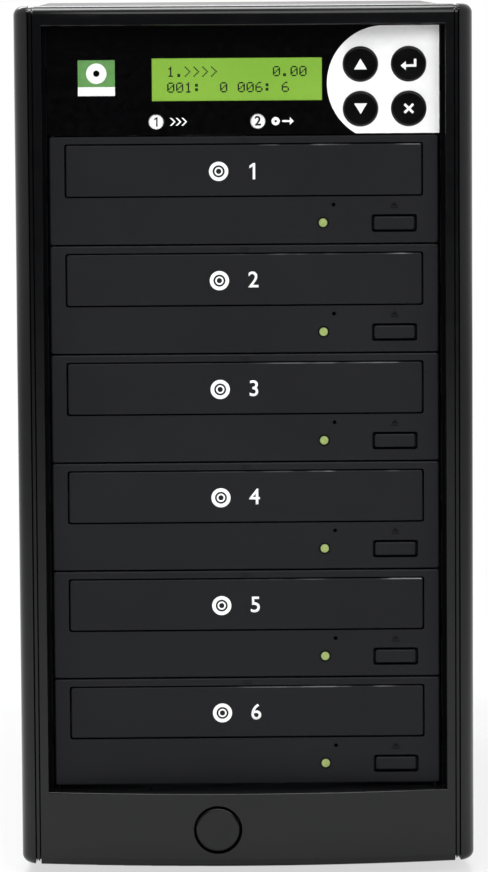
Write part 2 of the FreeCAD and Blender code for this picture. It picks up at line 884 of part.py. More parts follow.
def grille_slots(x, z, y0, y1):
    # Rings of slots in front of a fan, with a cross of spokes left standing
    pitch = (fan_bore - grille_hub) / grille_rings
    rings = []
    for ring in range(grille_rings):
        inner = grille_hub + ring * pitch
        outer = inner + pitch - grille_web
        rings.append(rod_y(outer, x, y0, y1, z).cut(rod_y(inner, x, y0 - over, y1 + over, z)))
    spokes = [
        box(x - fan_bore, x + fan_bore, y0 - over, y1 + over, z - grille_spoke / 2, z + grille_spoke / 2),
        box(x - grille_spoke / 2, x + grille_spoke / 2, y0 - over, y1 + over, z - fan_bore, z + fan_bore),
    ]
    turned = [spoke.rotate(point(x, y0, z), y_axis, 45) for spoke in spokes]
    return [ring.cut(turned) for ring in rings]


def fan_hole_places(x, z):
    reach = fan_hole_spacing / 2
    return [(x + across * reach, z + up * reach) for across in left_right for up in left_right]


def supply_hole_places():
    reach_x = supply_half - supply_hole_x
    reach_z = supply_height / 2 - supply_hole_z
    return [(across * reach_x, supply_z + up * reach_z) for across in left_right for up in left_right]


def lip_hole_places():
    edge = cover_half - cover_lip / 2
    low = foot_height + cover_lip
    high = cover_top - cover_lip / 2
    return [(side * edge, z) for side in left_right for z in (low, (low + high) / 2, high)]


def board_hole_places():
    reach_x = board_width / 2 - board_hole_inset
    front = rear_y - board_rear_gap - board_depth + board_hole_inset
    rear = rear_y - board_rear_gap - board_hole_inset
    return [(side * reach_x, y) for side in left_right for y in (front, rear)]


def base_chassis():
    # One folded sheet: the floor with the front and rear plates turned up
    tray = box(-inner_half, inner_half, 0, case_depth, foot_height, plate_top)
    inside = box(-inner_half - over, inner_half + over, sheet, rear_y, floor_z, plate_top + over)
    inside = inside.makeFillet(bend_radius, edges_along_at(inside, x_axis, floor_z))
    tray = tray.makeFillet(bend_radius + sheet, edges_along_at(tray, x_axis, foot_height))
    cuts = [inside]
    opening_half = body_half + sheet / 2
    cuts.append(box(-opening_half, opening_half, -over, sheet + over, first_face_z + body_bottom - over,
                    panel_z + panel_height))
    reach = half_width - wall
    for side in left_right:
        near, far = sorted((side * (reach - hook_barb - hook_thickness - hook_gap), side * (reach - hook_gap)))
        for height in hook_heights():
            cuts.append(box(near, far, -over, sheet + over, height - hook_width / 2 - hook_gap,
                            height + hook_width / 2 + hook_gap))
    window_x_half = supply_half - supply_border_x
    window_z_half = supply_height / 2 - supply_border_z
    cuts.append(box(-window_x_half, window_x_half, rear_y - over, case_depth + over, supply_z - window_z_half,
                    supply_z + window_z_half))
    cuts.extend(grille_slots(0, case_fan_z, rear_y - over, case_depth + over))
    for x, z in supply_hole_places() + fan_hole_places(0, case_fan_z):
        cuts.append(rod_y(screw_radius + screw_gap, x, rear_y - over, case_depth + over, z))
    for x, z in lip_hole_places():
        cuts.append(rod_y(screw_radius + tapped_gap, x, rear_y - over, case_depth + over, z))
    for column in left_right:
        for row in range(rear_vent_count):
            middle = column * (vent_length / 2 + vent_pitch / 2)
            low = rear_vent_z + row * vent_pitch
            cuts.append(panel(middle - vent_length / 2, middle + vent_length / 2, rear_y - over, case_depth + over,
                              low, low + vent_height, vent_radius))
    chassis = tray.cut(cuts)
    standoffs = []
    for x, y in board_hole_places():
        post = rod_z(standoff_radius, x, y, floor_z, floor_z + standoff_height)
        standoffs.append(post.cut(rod_z(screw_radius + tapped_gap, x, y, floor_z, floor_z + standoff_height + over)))
    return chassis.fuse(standoffs)


def hood(half, y0, y1, top, radius):
    shape = box(-half, half, y0, y1, foot_height, top)
    return shape.makeFillet(radius, edges_along_at(shape, y_axis, top))


def top_cover():
    # Roof and both sides from one sheet, with lips that lie on the rear plate
    outer = hood(cover_half, 0, case_depth + sheet, cover_top, bend_radius + sheet)
    inner = hood(inner_half, -over, case_depth, ceiling, bend_radius)
    rear_window = box(-cover_half + cover_lip, cover_half - cover_lip, case_depth - over, case_depth + sheet + over,
                      foot_height - over, cover_top - cover_lip)
    cuts = [inner, rear_window]
    for x, z in lip_hole_places():
        cuts.append(rod_y(screw_radius + screw_gap, x, case_depth - over, case_depth + sheet + over, z))
    for row in range(vent_count):
        low = side_vent_z + row * vent_pitch
        slot = box(-cover_half - over, cover_half + over, side_vent_setback, side_vent_setback + vent_length, low,
                   low + vent_height)
        cuts.append(slot.makeFillet(vent_radius, edges_along(slot, x_axis)))
    return outer.cut(cuts)


def drive_cage():
    # A folded channel: two walls that the drives are screwed to, and a foot on the floor of the case
    low = floor_z
    outer = box(-body_half - sheet, body_half + sheet, sheet, body_rear, low, cage_top)
    inner = box(-body_half, body_half, sheet - over, body_rear + over, low + sheet, cage_top + over)
    cuts = [inner]
    for drive in range(1, drive_count + 1):
        for place in side_hole_places():
            cuts.append(rod_x(screw_radius + screw_gap, -body_half - sheet - over, body_half + sheet + over, place,
                              face_z(drive) + body_bottom + side_hole_height))
    for place in arm_hole_places():
        cuts.append(rod_x(screw_radius + screw_gap, -body_half - sheet - over, body_half + sheet + over, place,
                          panel_z + panel_height / 2))
    clear = sheet + bend_radius
    bend = box(-body_half - sheet - over, body_half + sheet + over, 0, clear, low - over, low + clear)
    return outer.cut(cuts + [bend])


def foot(x, y):
    pad = Part.makeCone(foot_radius - foot_taper, foot_radius, foot_height, point(x, y, 0), z_axis)
    return pad.cut(rod_z(foot_recess_radius, x, y, -over, foot_recess_depth))


def feet():
    reach = half_width - foot_inset
    return [foot(side * reach, y) for side in left_right for y in (foot_inset, case_depth - foot_inset)]


# Controller board

def controller_board():
    rear = rear_y - board_rear_gap
    front = rear - board_depth
    low = floor_z + standoff_height
    top = low + board_thickness
    board = box(-board_width / 2, board_width / 2, front, rear, low, top)
    holes = [rod_z(screw_radius + screw_gap, x, y, low - over, top + over) for x, y in board_hole_places()]
    middle = (front + rear) / 2
    chip = box(-chip_size / 2, chip_size / 2, middle - chip_size / 2, middle + chip_size / 2, top, top + chip_height)
    fin_pitch = (chip_size - fin_thickness) / (fin_count - 1)
    fins = []
    for fin in range(fin_count):
        x = fin * fin_pitch - chip_size / 2
        fins.append(box(x, x + fin_thickness, middle - chip_size / 2, middle + chip_size / 2, top + chip_height,
                        top + chip_height + fin_height))
    capacitors = []
    for place in range(capacitor_count):
        x = (place - (capacitor_count - 1) / 2) * capacitor_pitch
        capacitors.append(rod_z(capacitor_radius, x, rear - 2 * board_hole_inset, top, top + capacitor_height))
    ports = []
    for port in range(port_count):
        x = (port - (port_count - 1) / 2) * port_pitch
        start = front + 2 * board_hole_inset
        ports.append(box(x - port_width / 2, x + port_width / 2, start, start + port_depth, top, top + port_height))
    return joined([board.cut(holes), chip] + fins + capacitors + ports)


# Power supply, mains inlet and rocker switch

def power_supply():
    half = supply_half
    low = supply_top - supply_height
    front = rear_y - supply_depth
    shell = box(-half, half, front, rear_y, low, supply_top)
    inside = box(-half + sheet, half - sheet, front + sheet, rear_y - sheet, low + sheet, supply_top - sheet)
    cuts = [inside]
    cuts.extend(grille_slots(supply_fan_x, supply_z, rear_y - sheet - over, rear_y + over))
    for x, z in supply_hole_places():
        cuts.append(rod_y(screw_radius + tapped_gap, x, rear_y - sheet - over, rear_y + over, z))
    for x, z in fan_hole_places(supply_fan_x, supply_z):
        cuts.append(rod_y(screw_radius + screw_gap, x, rear_y - sheet - over, rear_y + over, z))
    cuts.append(box(inlet_x - inlet_width / 2, inlet_x + inlet_width / 2, rear_y - sheet - over, rear_y + over,
                    supply_z - inlet_height / 2, supply_z + inlet_height / 2))
    rows = int((supply_height - 2 * vent_pitch) / vent_pitch)
    for row in range(rows):
        z = low + vent_pitch + row * vent_pitch
        cuts.append(box(-half + vent_pitch, half - vent_pitch, front - over, front + sheet + over, z, z + vent_height))
    return shell.cut(cuts)


def rocker_pivot():
    return (rear_y + inlet_flange_thickness - rocker_pivot_depth, supply_z + rocker_z)


def mains_inlet():
    # One moulding: a three-blade socket below a switch well, with a flange on the supply's rear wall
    face = rear_y + inlet_flange_thickness
    bottom = face - inlet_depth
    half_x = inlet_width / 2
    half_z = inlet_height / 2
    body = box(inlet_x - half_x, inlet_x + half_x, bottom, face, supply_z - half_z, supply_z + half_z)
    flange = panel(inlet_x - half_x - inlet_flange, inlet_x + half_x + inlet_flange, rear_y, face,
                   supply_z - half_z - inlet_flange, supply_z + half_z + inlet_flange, inlet_flange)
    middle = supply_z + socket_z
    wide = socket_width / 2
    tall = socket_height / 2
    outline = [
        (-wide, -tall),
        (wide, -tall),
        (wide, tall - socket_chamfer),
        (wide - socket_chamfer, tall),
        (-wide + socket_chamfer, tall),
        (-wide, tall - socket_chamfer),
    ]
    corners = [point(inlet_x + x, face - socket_depth, middle + z) for x, z in outline]
    socket = prism(corners, point(0, socket_depth + over, 0))
    pivot_y, pivot_z = rocker_pivot()
    well_x = rocker_width / 2 + rocker_gap
    well_z = well_height / 2
    well = box(inlet_x - well_x, inlet_x + well_x, pivot_y - rocker_tail - 2 * rocker_gap, face + over,
               pivot_z - well_z, pivot_z + well_z)
    reach = rocker_width / 2 + trunnion_length + trunnion_room
    bearing = rod_x(trunnion_radius + running_gap, inlet_x - reach, inlet_x + reach, pivot_y, pivot_z)
    moulding = body.fuse(flange).cut([socket, well, bearing])
    blades = []
    for x, z in ((-blade_spacing, -blade_drop), (0, blade_drop), (blade_spacing, -blade_drop)):
        start = face - socket_depth
        blades.append(box(inlet_x + x - blade_width / 2, inlet_x + x + blade_width / 2, start, start + blade_length,
                          middle + z - blade_height / 2, middle + z + blade_height / 2))
    return joined([moulding] + blades)


def rocker_switch():
    # A paddle with two faces that meet at a ridge, resting with its upper half pressed in
    pivot_y, pivot_z = rocker_pivot()
    half = rocker_height / 2
    outline = [
        (rocker_nose, -half),
        (rocker_nose + rocker_ridge, 0),
        (rocker_nose, half),
        (0, half - rocker_tail / 2),
        (-rocker_tail, half / 2),
        (-rocker_tail, -half / 2),
        (0, -half + rocker_tail / 2),
    ]
    start = inlet_x - rocker_width / 2
    corners = [point(start, pivot_y + y, pivot_z + z) for y, z in outline]
    paddle = prism(corners, point(rocker_width, 0, 0))
    reach = rocker_width / 2 + trunnion_length
    trunnion = rod_x(trunnion_radius, inlet_x - reach, inlet_x + reach, pivot_y, pivot_z)
    rocker = joined([paddle, trunnion])
    return rocker.rotate(point(inlet_x, pivot_y, pivot_z), x_axis, rocker_angle)


# Fans, one behind each grille, with the struts on the grille's side

def fan_frame(x, z, rear):
    half = fan_size / 2
    front = rear - fan_depth
    block = panel(x - half, x + half, front, rear, z - half, z + half, fan_corner)
    holes = [rod_y(screw_radius + tapped_gap, hole_x, front - over, rear + over, hole_z)
             for hole_x, hole_z in fan_hole_places(x, z)]
    ring = block.cut([rod_y(fan_bore, x, front - over, rear + over, z)] + holes)
    inner = rear - fan_spider_thickness
    hub = rod_y(fan_spider_radius, x, inner, rear, z)
    struts = [
        box(x - half, x + half, inner, rear, z - fan_strut_width / 2, z + fan_strut_width / 2),
        box(x - fan_strut_width / 2, x + fan_strut_width / 2, inner, rear, z - half, z + half),
    ]
    spider = hub.fuse(struts).common(rod_y(fan_bore, x, inner, rear, z))
    shaft = rod_y(fan_shaft_radius, x, inner - fan_hub_depth + fan_shaft_room, inner, z)
    return joined([ring, spider, shaft])


def fan_rotor(x, z, rear):
    back = rear - fan_spider_thickness - lift_gap
    front = back - fan_hub_depth
    middle = (front + back) / 2
    hub = rod_y(fan_hub_radius, x, front, back, z)
    root = fan_hub_radius - over
    sections = []
    ends = ((root, blade_chord_root, blade_pitch_root), (fan_bore, blade_chord_tip, blade_pitch_tip))
    for radius, chord, pitch in ends:
        turn = math.radians(pitch)
        corners = []
        for along, across in ((-1, -1), (1, -1), (1, 1), (-1, 1)):
            run = along * chord / 2
            rise = across * blade_thickness / 2
            axial = run * math.sin(turn) + rise * math.cos(turn)
            swing = run * math.cos(turn) - rise * math.sin(turn)
            corners.append(point(x + radius, middle + axial, z + swing))
        sections.append(Part.makePolygon(corners + corners[:1]))
    sweep = rod_y(fan_bore - fan_tip_gap, x, front - over, back + over, z)
    blade = Part.makeLoft(sections, True, True).common(sweep)
    blades = []
    for index in range(blade_count):
        copy = blade.copy()
        copy.rotate(point(x, middle, z), y_axis, index * 360 / blade_count)
        blades.append(copy)
    bore_end = back - fan_hub_depth + fan_shaft_room - lift_gap
    bore = rod_y(fan_shaft_radius + running_gap, x, bore_end, back + over, z)
    return joined([hub] + blades).cut(bore)


# Screws, each a round head seated on the outside of what it holds

def screw(x, y, z, outward, length):
    # A pan head with a cross recess, made upright and then turned to face outward
    head = rod_z(head_radius, 0, 0, 0, head_height)
    head = head.makeChamfer(head_edge, edges_at(head, z_axis, head_height))
    floor = head_height - recess_depth
    long = recess_length / 2
    short = recess_width / 2
    cross = box(-long, long, -short, short, floor, head_height + over).fuse(
        box(-short, short, -long, long, floor, head_height + over))
    whole = joined([head.cut(cross), rod_z(screw_radius, 0, 0, -length, 0)])
    whole.Placement = FreeCAD.Placement(point(x, y, z), FreeCAD.Rotation(z_axis, outward))
    return whole


def screws():
    group = []
    for side in left_right:
        outside = side * (body_half + sheet)
        outward = x_axis * side
        for drive in range(1, drive_count + 1):
            for place in side_hole_places():
                height = face_z(drive) + body_bottom + side_hole_height
                group.append(screw(outside, place, height, outward, drive_screw_length))
        for place in arm_hole_places():
            group.append(screw(outside, place, panel_z + panel_height / 2, outward, sheet + arm_thickness - screw_gap))
    for x, z in lip_hole_places():
        group.append(screw(x, case_depth + sheet, z, y_axis, 2 * sheet + screw_grip))
    for x, z in supply_hole_places():
        group.append(screw(x, case_depth, z, y_axis, 2 * sheet + screw_grip))
    for x, z in fan_hole_places(0, case_fan_z):
        group.append(screw(x, case_depth, z, y_axis, 2 * sheet + screw_grip))
    for x, z in fan_hole_places(supply_fan_x, supply_z):
        group.append(screw(x, rear_y, z, y_axis, 2 * sheet + screw_grip))
    board_top = floor_z + standoff_height + board_thickness
    for x, y in board_hole_places():
        group.append(screw(x, y, board_top, z_axis, board_thickness + 2 * screw_grip))
    for x, z in post_places():
        group.append(screw(x, panel_board_y + board_thickness, z, y_axis, board_thickness + 2 * screw_grip))
    return group


# The whole tower

def tower():
    nodes = {
        "front_bezel": [front_bezel()],
        "power_button": [power_button()],
        "power_switch": [power_switch()],
        "panel_overlay": [panel_overlay()],
        "panel_fascia": [panel_fascia()],
        "panel_board": [panel_board()],
        "lcd_module": [lcd_module()],
        "lcd_glass": [lcd_glass()],
        "base_chassis": [base_chassis()],
        "top_cover": [top_cover()],
        "drive_cage": [drive_cage()],
        "feet": feet(),
        "controller_board": [controller_board()],
        "power_supply": [power_supply()],
        "mains_inlet": [mains_inlet()],
        "rocker_switch": [rocker_switch()],
        "fan_frames": [fan_frame(0, case_fan_z, rear_y), fan_frame(supply_fan_x, supply_z, rear_y - sheet)],
        "case_fan_rotor": [fan_rotor(0, case_fan_z, rear_y)],
        "supply_fan_rotor": [fan_rotor(supply_fan_x, supply_z, rear_y - sheet)],
        "screws": screws(),
        "drive_leds": [],
        "loader_frames": [],
        "disc_spindles": [],
        "optical_pickups": [],
    }
    for name, (x, z, radius) in key_places().items():
        nodes[name] = [key_cap(x, z, radius)]
    single = {
        "face": drive_face(),
        "housing": drive_housing(),
        "tray": disc_tray(),
        "tray_door": tray_door(),
        "eject_button": eject_button(),
    }
    grouped = {
        "drive_leds": drive_led(),
        "loader_frames": loader_frame(),
        "disc_spindles": disc_spindle(),
        "optical_pickups": optical_pickup(),
    }
    for drive in range(1, drive_count + 1):
        for name, shape in single.items():
            nodes[f"drive_{drive}_{name}"] = [moved(shape, 0, 0, face_z(drive))]
        for name, shape in grouped.items():
            nodes[name].append(moved(shape, 0, 0, face_z(drive)))
    return nodes


os.makedirs("parts", exist_ok=True)
for node, solids in tower().items():
    group = solids[0] if len(solids) == 1 else Part.makeCompound(solids)
    moved(group, 0, -middle_y, 0).exportStep(f"parts/{node}.step")
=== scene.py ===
import math

import bmesh
import bpy
from mathutils import Euler, Matrix, Vector


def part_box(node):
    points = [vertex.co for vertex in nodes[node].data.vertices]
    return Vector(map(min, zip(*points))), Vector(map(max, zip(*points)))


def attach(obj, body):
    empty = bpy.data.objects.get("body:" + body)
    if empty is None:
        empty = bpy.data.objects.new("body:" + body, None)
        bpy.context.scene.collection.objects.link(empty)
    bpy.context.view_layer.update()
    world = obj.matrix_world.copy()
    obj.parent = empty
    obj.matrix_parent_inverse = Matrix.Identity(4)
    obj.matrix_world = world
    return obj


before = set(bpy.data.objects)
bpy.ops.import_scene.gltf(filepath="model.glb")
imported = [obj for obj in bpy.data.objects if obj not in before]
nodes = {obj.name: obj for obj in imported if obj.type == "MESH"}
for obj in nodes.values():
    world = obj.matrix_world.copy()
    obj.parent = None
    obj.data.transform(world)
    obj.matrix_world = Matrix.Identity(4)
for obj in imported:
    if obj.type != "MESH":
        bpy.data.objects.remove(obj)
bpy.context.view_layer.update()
mm = 0.001
driveNumbers = range(1, 7)  # drive 1 is the top one
print("frame loaded with", len(nodes), "nodes")


# Node tree helpers
def addNode(tree, kind, inputs=None, **settings):
    node = tree.nodes.new(kind)
    for name, value in settings.items():
        setattr(node, name, value)
    for name, value in (inputs or {}).items():  # a link or a fixed value
        if isinstance(value, bpy.types.NodeSocket):
            tree.links.new(value, node.inputs[name])
        else:
            node.inputs[name].default_value = value
    return node


def newFinish(name, colour, roughness, specular=0.5, metallic=0.0):
    material = bpy.data.materials.new(name)
    material.use_nodes = True
    tree = material.node_tree
    shader = tree.nodes["Principled BSDF"]
    shader.inputs["Base Color"].default_value = (*colour, 1)
    shader.inputs["Roughness"].default_value = roughness
    shader.inputs["Specular IOR Level"].default_value = specular
    shader.inputs["Metallic"].default_value = metallic
    coords = addNode(tree, "ShaderNodeTexCoord").outputs["Object"]
    return material, tree, shader, coords


def addNoise(tree, coords, size, detail=2.0):  # size is the width of one blot, in metres
    noise = addNode(tree, "ShaderNodeTexNoise", {"Vector": coords, "Scale": 1 / size, "Detail": detail})
    return noise.outputs["Fac"]


def feed(shader, name, socket):
    shader.id_data.links.new(socket, shader.inputs[name])


def reopen(material):  # a finish's tree, shader and coordinates, to add to it
    tree = material.node_tree
    return tree, tree.nodes["Principled BSDF"], addNode(tree, "ShaderNodeTexCoord").outputs["Object"]


def feeding(shader, name):  # what is linked to one of the shader's sockets
    return shader.inputs[name].links[0].from_socket


def addCells(tree, coords, size, output):  # size is the width of one cell, in metres
    return addNode(tree, "ShaderNodeTexVoronoi", {"Vector": coords, "Scale": 1 / size}).outputs[output]


noiseMiddle = (0.3, 0.7)  # nearly all of a noise lies between these


def mapRange(tree, value, start, end, low=0.0, high=1.0):
    return addNode(tree, "ShaderNodeMapRange", {
        "Value": value, "From Min": start, "From Max": end, "To Min": low, "To Max": high,
    }).outputs["Result"]


def spread(tree, noise, low, high):  # maps a noise to a range
    return mapRange(tree, noise, *noiseMiddle, low, high)


def blendColours(tree, factor, first, second):
    ends = [end if isinstance(end, bpy.types.NodeSocket) else (*end, 1) for end in (first, second)]
    mix = addNode(tree, "ShaderNodeMix", data_type="RGBA", inputs={0: factor, 6: ends[0], 7: ends[1]})
    return mix.outputs[2]  # 6, 7 and 2 are the node's colour sockets


def mottle(tree, shader, noise, dark, light):  # the colour drifts with a noise
    feed(shader, "Base Color", blendColours(tree, spread(tree, noise, 0, 1), dark, light))


def combine(tree, operation, first, second):
    return addNode(tree, "ShaderNodeMath", {0: first, 1: second}, operation=operation).outputs[0]


def addBump(tree, shader, height, depth):
    bump = addNode(tree, "ShaderNodeBump", {"Height": height, "Distance": depth, "Strength": 1.0})
    feed(shader, "Normal", bump.outputs["Normal"])


mould = {"drift": 45 * mm, "patch": 9 * mm, "darker": 0.86, "lighter": 1.14}


def mouldedPlastic(look):
    # fine spark-eroded grain, slow colour drift and uneven polish
    material, tree, shader, coords = newFinish(look["name"], look["colour"], look["polish"][0],
                                               look["specular"])
    drift = addNoise(tree, coords, mould["drift"], 3)
    patches = addNoise(tree, coords, mould["patch"], 4)
    grain = addNoise(tree, coords, look["grain"], 3)
    darker = [mould["darker"] * part for part in look["colour"]]
    lighter = [mould["lighter"] * part for part in look["colour"]]
    mottle(tree, shader, drift, darker, lighter)
    feed(shader, "Roughness", spread(tree, patches, *look["polish"]))
    addBump(tree, shader, grain, look["depth"])
    return material


bezelLook = {"name": "bezel satin", "colour": (0.0030, 0.0031, 0.0035), "polish": (0.14, 0.19),
             "specular": 0.26, "grain": 0.5 * mm, "depth": 0.006 * mm}
capLook = {**bezelLook, "name": "power cap satin", "polish": (0.11, 0.15), "specular": 0.25}
driveLook = {"name": "drive face texture", "colour": (0.0060, 0.0063, 0.0082), "polish": (0.44, 0.52),
             "specular": 0.16, "grain": 0.45 * mm, "depth": 0.02 * mm}
trayLook = {"name": "tray plastic", "colour": (0.017, 0.017, 0.019), "polish": (0.42, 0.52), "specular": 0.4,
            "grain": 0.6 * mm, "depth": 0.015 * mm}
innerLook = {"name": "inner plastic", "colour": (0.02, 0.02, 0.021), "polish": (0.4, 0.55), "specular": 0.45,
             "grain": 0.8 * mm, "depth": 0.02 * mm}
inletLook = {"name": "inlet moulding", "colour": (0.015, 0.015, 0.016), "polish": (0.32, 0.42),
             "specular": 0.45, "grain": 0.5 * mm, "depth": 0.012 * mm}
bladeLook = {"rise": 16.6 * mm, "halfWidth": 8.4 * mm, "halfHeight": 4.4 * mm, "depth": 16.8 * mm,
             "colour": (0.62, 0.60, 0.55)}
keyBlackLook = {"name": "key black", "colour": (0.0014, 0.0014, 0.0016), "polish": (0.16, 0.24),
                "specular": 0.22, "grain": 0.35 * mm, "depth": 0.008 * mm}
keyWhiteLook = {"name": "key white", "colour": (0.86, 0.86, 0.85), "polish": (0.32, 0.42), "specular": 0.5,
                "grain": 0.35 * mm, "depth": 0.006 * mm}


def insideBox(tree, coords, low, high):  # 1 between two corners, 0 outside
    place = addNode(tree, "ShaderNodeSeparateXYZ", {"Vector": coords})
    mask = 1.0
    for axis, floor, ceiling in zip("XYZ", low, high):
        above = combine(tree, "GREATER_THAN", place.outputs[axis], floor)
        below = combine(tree, "LESS_THAN", place.outputs[axis], ceiling)
        mask = combine(tree, "MULTIPLY", mask, combine(tree, "MULTIPLY", above, below))
    return mask


def reachFrom(tree, across, up):  # distance from a point, in a plane
    squares = [combine(tree, "MULTIPLY", part, part) for part in (across, up)]
    return combine(tree, "SQRT", combine(tree, "ADD", *squares), 0.0)


def inletMoulding():
    # the inlet's black moulding, with the three blades in its socket plated
    low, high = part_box("mains_inlet")
    middle = (low.x + high.x) / 2
    socket = low.z + bladeLook["rise"]
    corner = (middle - bladeLook["halfWidth"], high.y - bladeLook["depth"], socket - bladeLook["halfHeight"])
    opposite = (middle + bladeLook["halfWidth"], high.y, socket + bladeLook["halfHeight"])
    material = mouldedPlastic(inletLook)
    tree, shader, coords = reopen(material)
    blade = insideBox(tree, coords, corner, opposite)
    shade = feeding(shader, "Base Color")
    feed(shader, "Base Color", blendColours(tree, blade, shade, bladeLook["colour"]))
    feed(shader, "Metallic", blade)
    return material


# walls of the bay and round the power key's hole: matt, and darker in colour as painted shade
bayShadeLook = {"halfWidth": 76.85 * mm, "low": 34.3 * mm, "high": 327.35 * mm, "powerX": -11.7 * mm,
           "powerReach": 9.4 * mm, "colour": (0.0022, 0.0022, 0.0025), "roughness": 0.36}


def bezelMoulding():
    # polished outside; the walls of the bay and of the power key's hole are left matt, as moulded, and given
    # a darker colour as painted shade
    low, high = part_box("front_bezel")
    corner = (-bayShadeLook["halfWidth"], low.y, bayShadeLook["low"])
    opposite = (bayShadeLook["halfWidth"], high.y, bayShadeLook["high"])
    powerZ = (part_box("power_button")[0].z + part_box("power_button")[1].z) / 2
    material = mouldedPlastic(bezelLook)
    tree, shader, coords = reopen(material)
    bay = insideBox(tree, coords, corner, opposite)
    spot = addNode(tree, "ShaderNodeSeparateXYZ", {"Vector": coords})
    across = combine(tree, "SUBTRACT", spot.outputs["X"], bayShadeLook["powerX"])
    up = combine(tree, "SUBTRACT", spot.outputs["Z"], powerZ)
    hole = combine(tree, "LESS_THAN", reachFrom(tree, across, up), bayShadeLook["powerReach"])
    mattAndShade = combine(tree, "MAXIMUM", bay, hole)
    shade = feeding(shader, "Base Color")
    polish = feeding(shader, "Roughness")
    # painted shade: the bay's walls and the power key's hole get the darker colour
    feed(shader, "Base Color", blendColours(tree, mattAndShade, shade, bayShadeLook["colour"]))
    rough = combine(tree, "MAXIMUM", polish, combine(tree, "MULTIPLY", mattAndShade, bayShadeLook["roughness"]))
    feed(shader, "Roughness", rough)
    return material


# painted highlight along the drives' upper front edges, with lower roughness there as well
edgeHighlightLook = {"band": 0.45 * mm, "margin": 0.1 * mm, "patch": 17 * mm, "patches": (0.48, 0.62),
            "side": (-20 * mm, 60 * mm), "colour": (0.20, 0.20, 0.205), "polish": 0.2}


def wornTexture(part):
    # the drives' texture with a painted highlight: a lighter colour in patches along the upper front edge,
    # mostly on the right, where the roughness is also lower
    low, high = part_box(f"drive_6_{part}")
    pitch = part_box(f"drive_5_{part}")[0].z - low.z
    material = mouldedPlastic({**driveLook, "name": part.replace("_", " ") + " texture"})
    tree, shader, coords = reopen(material)
    place = addNode(tree, "ShaderNodeSeparateXYZ", {"Vector": coords})
    above = combine(tree, "SUBTRACT", place.outputs["Z"], low.z - edgeHighlightLook["margin"])
    rise = combine(tree, "MODULO", above, pitch)
    edge = combine(tree, "GREATER_THAN", rise, high.z - low.z + edgeHighlightLook["margin"] - edgeHighlightLook["band"])
    front = combine(tree, "LESS_THAN", place.outputs["Y"], low.y + edgeHighlightLook["band"])
    patches = mapRange(tree, addNoise(tree, coords, edgeHighlightLook["patch"], 2), *edgeHighlightLook["patches"])
    towardsRight = mapRange(tree, place.outputs["X"], *edgeHighlightLook["side"])
    line = combine(tree, "MULTIPLY", edge, front)
    wearAndHighlight = combine(tree, "MULTIPLY", line, combine(tree, "MULTIPLY", patches, towardsRight))
    shade = feeding(shader, "Base Color")
    polish = feeding(shader, "Roughness")
    # painted highlight: the lighter colour along the edge
    feed(shader, "Base Color", blendColours(tree, wearAndHighlight, shade, edgeHighlightLook["colour"]))
    smoother = combine(tree, "SUBTRACT", polish, combine(tree, "MULTIPLY", wearAndHighlight, edgeHighlightLook["polish"]))
    feed(shader, "Roughness", smoother)
    return material


shadeFeltLook = {"colour": (0.0016, 0.0016, 0.0018), "dark": (0.0010, 0.0010, 0.0012),
            "light": (0.0022, 0.0022, 0.0024), "fibre": 0.4 * mm, "depth": 0.08 * mm}


def sealFelt():
    # black felt: no shine, short fibres; it is laid in gaps as painted shade
    material, tree, shader, coords = newFinish("shade felt", shadeFeltLook["colour"], roughness=0.95, specular=0.03)
    fibres = addNoise(tree, coords, shadeFeltLook["fibre"], 4)
    mottle(tree, shader, fibres, shadeFeltLook["dark"], shadeFeltLook["light"])
    addBump(tree, shader, fibres, shadeFeltLook["depth"])
    return material


filmLook = {"colour": (0.0012, 0.0012, 0.0014), "dark": (0.0010, 0.0010, 0.0012),
            "light": (0.0015, 0.0015, 0.0018), "ripple": 14 * mm, "haze": 3 * mm, "polish": (0.10, 0.16),
            "depth": 0.01 * mm}


def overlayFilm():
    # printed film: deep black, almost mirror smooth, with a faint ripple from the adhesive
    material, tree, shader, coords = newFinish("overlay film", filmLook["colour"], roughness=0.12,
                                               specular=0.25)
    ripple = addNoise(tree, coords, filmLook["ripple"], 2)
    haze = addNoise(tree, coords, filmLook["haze"], 4)
    feed(shader, "Roughness", spread(tree, haze, *filmLook["polish"]))
    mottle(tree, shader, haze, filmLook["dark"], filmLook["light"])
    addBump(tree, shader, ripple, filmLook["depth"])
    return material


inkGrain = {"cover": 2.2 * mm, "weave": 0.25 * mm, "depth": 0.004 * mm, "roughness": (0.5, 0.4)}


def inkFinish(look):
    # screen print: a little uneven in cover, with the mesh of the screen in its surface
    material, tree, shader, coords = newFinish(look["name"], look["colour"], roughness=0.45,
                                               specular=look["specular"])
    cover = addNoise(tree, coords, inkGrain["cover"], 3)
    weave = addNoise(tree, coords, inkGrain["weave"], 1)
    thin = [look["thin"] * part for part in look["colour"]]
    mottle(tree, shader, cover, thin, look["colour"])
    feed(shader, "Roughness", spread(tree, cover, *inkGrain["roughness"]))
    addBump(tree, shader, weave, inkGrain["depth"])
    return material


whiteInkLook = {"name": "white ink", "colour": (0.93, 0.93, 0.925), "thin": 0.97, "specular": 0.4}
greenInkLook = {"name": "green ink", "colour": (0.115, 0.315, 0.078), "thin": 0.85, "specular": 0.4}
blackInkLook = {"name": "black ink", "colour": (0.004, 0.004, 0.004), "thin": 0.7, "specular": 0.2}
markInkLook = {"name": "moulded mark", "colour": (0.003, 0.003, 0.0035), "thin": 0.7, "specular": 0.08}


def flatten(tree, coords, across):  # lays X and another axis out as a flat pattern's own X and Y
    place = addNode(tree, "ShaderNodeSeparateXYZ", {"Vector": coords})
    flat = addNode(tree, "ShaderNodeCombineXYZ", {"X": place.outputs["X"], "Y": place.outputs[across]})
    return flat.outputs[0]


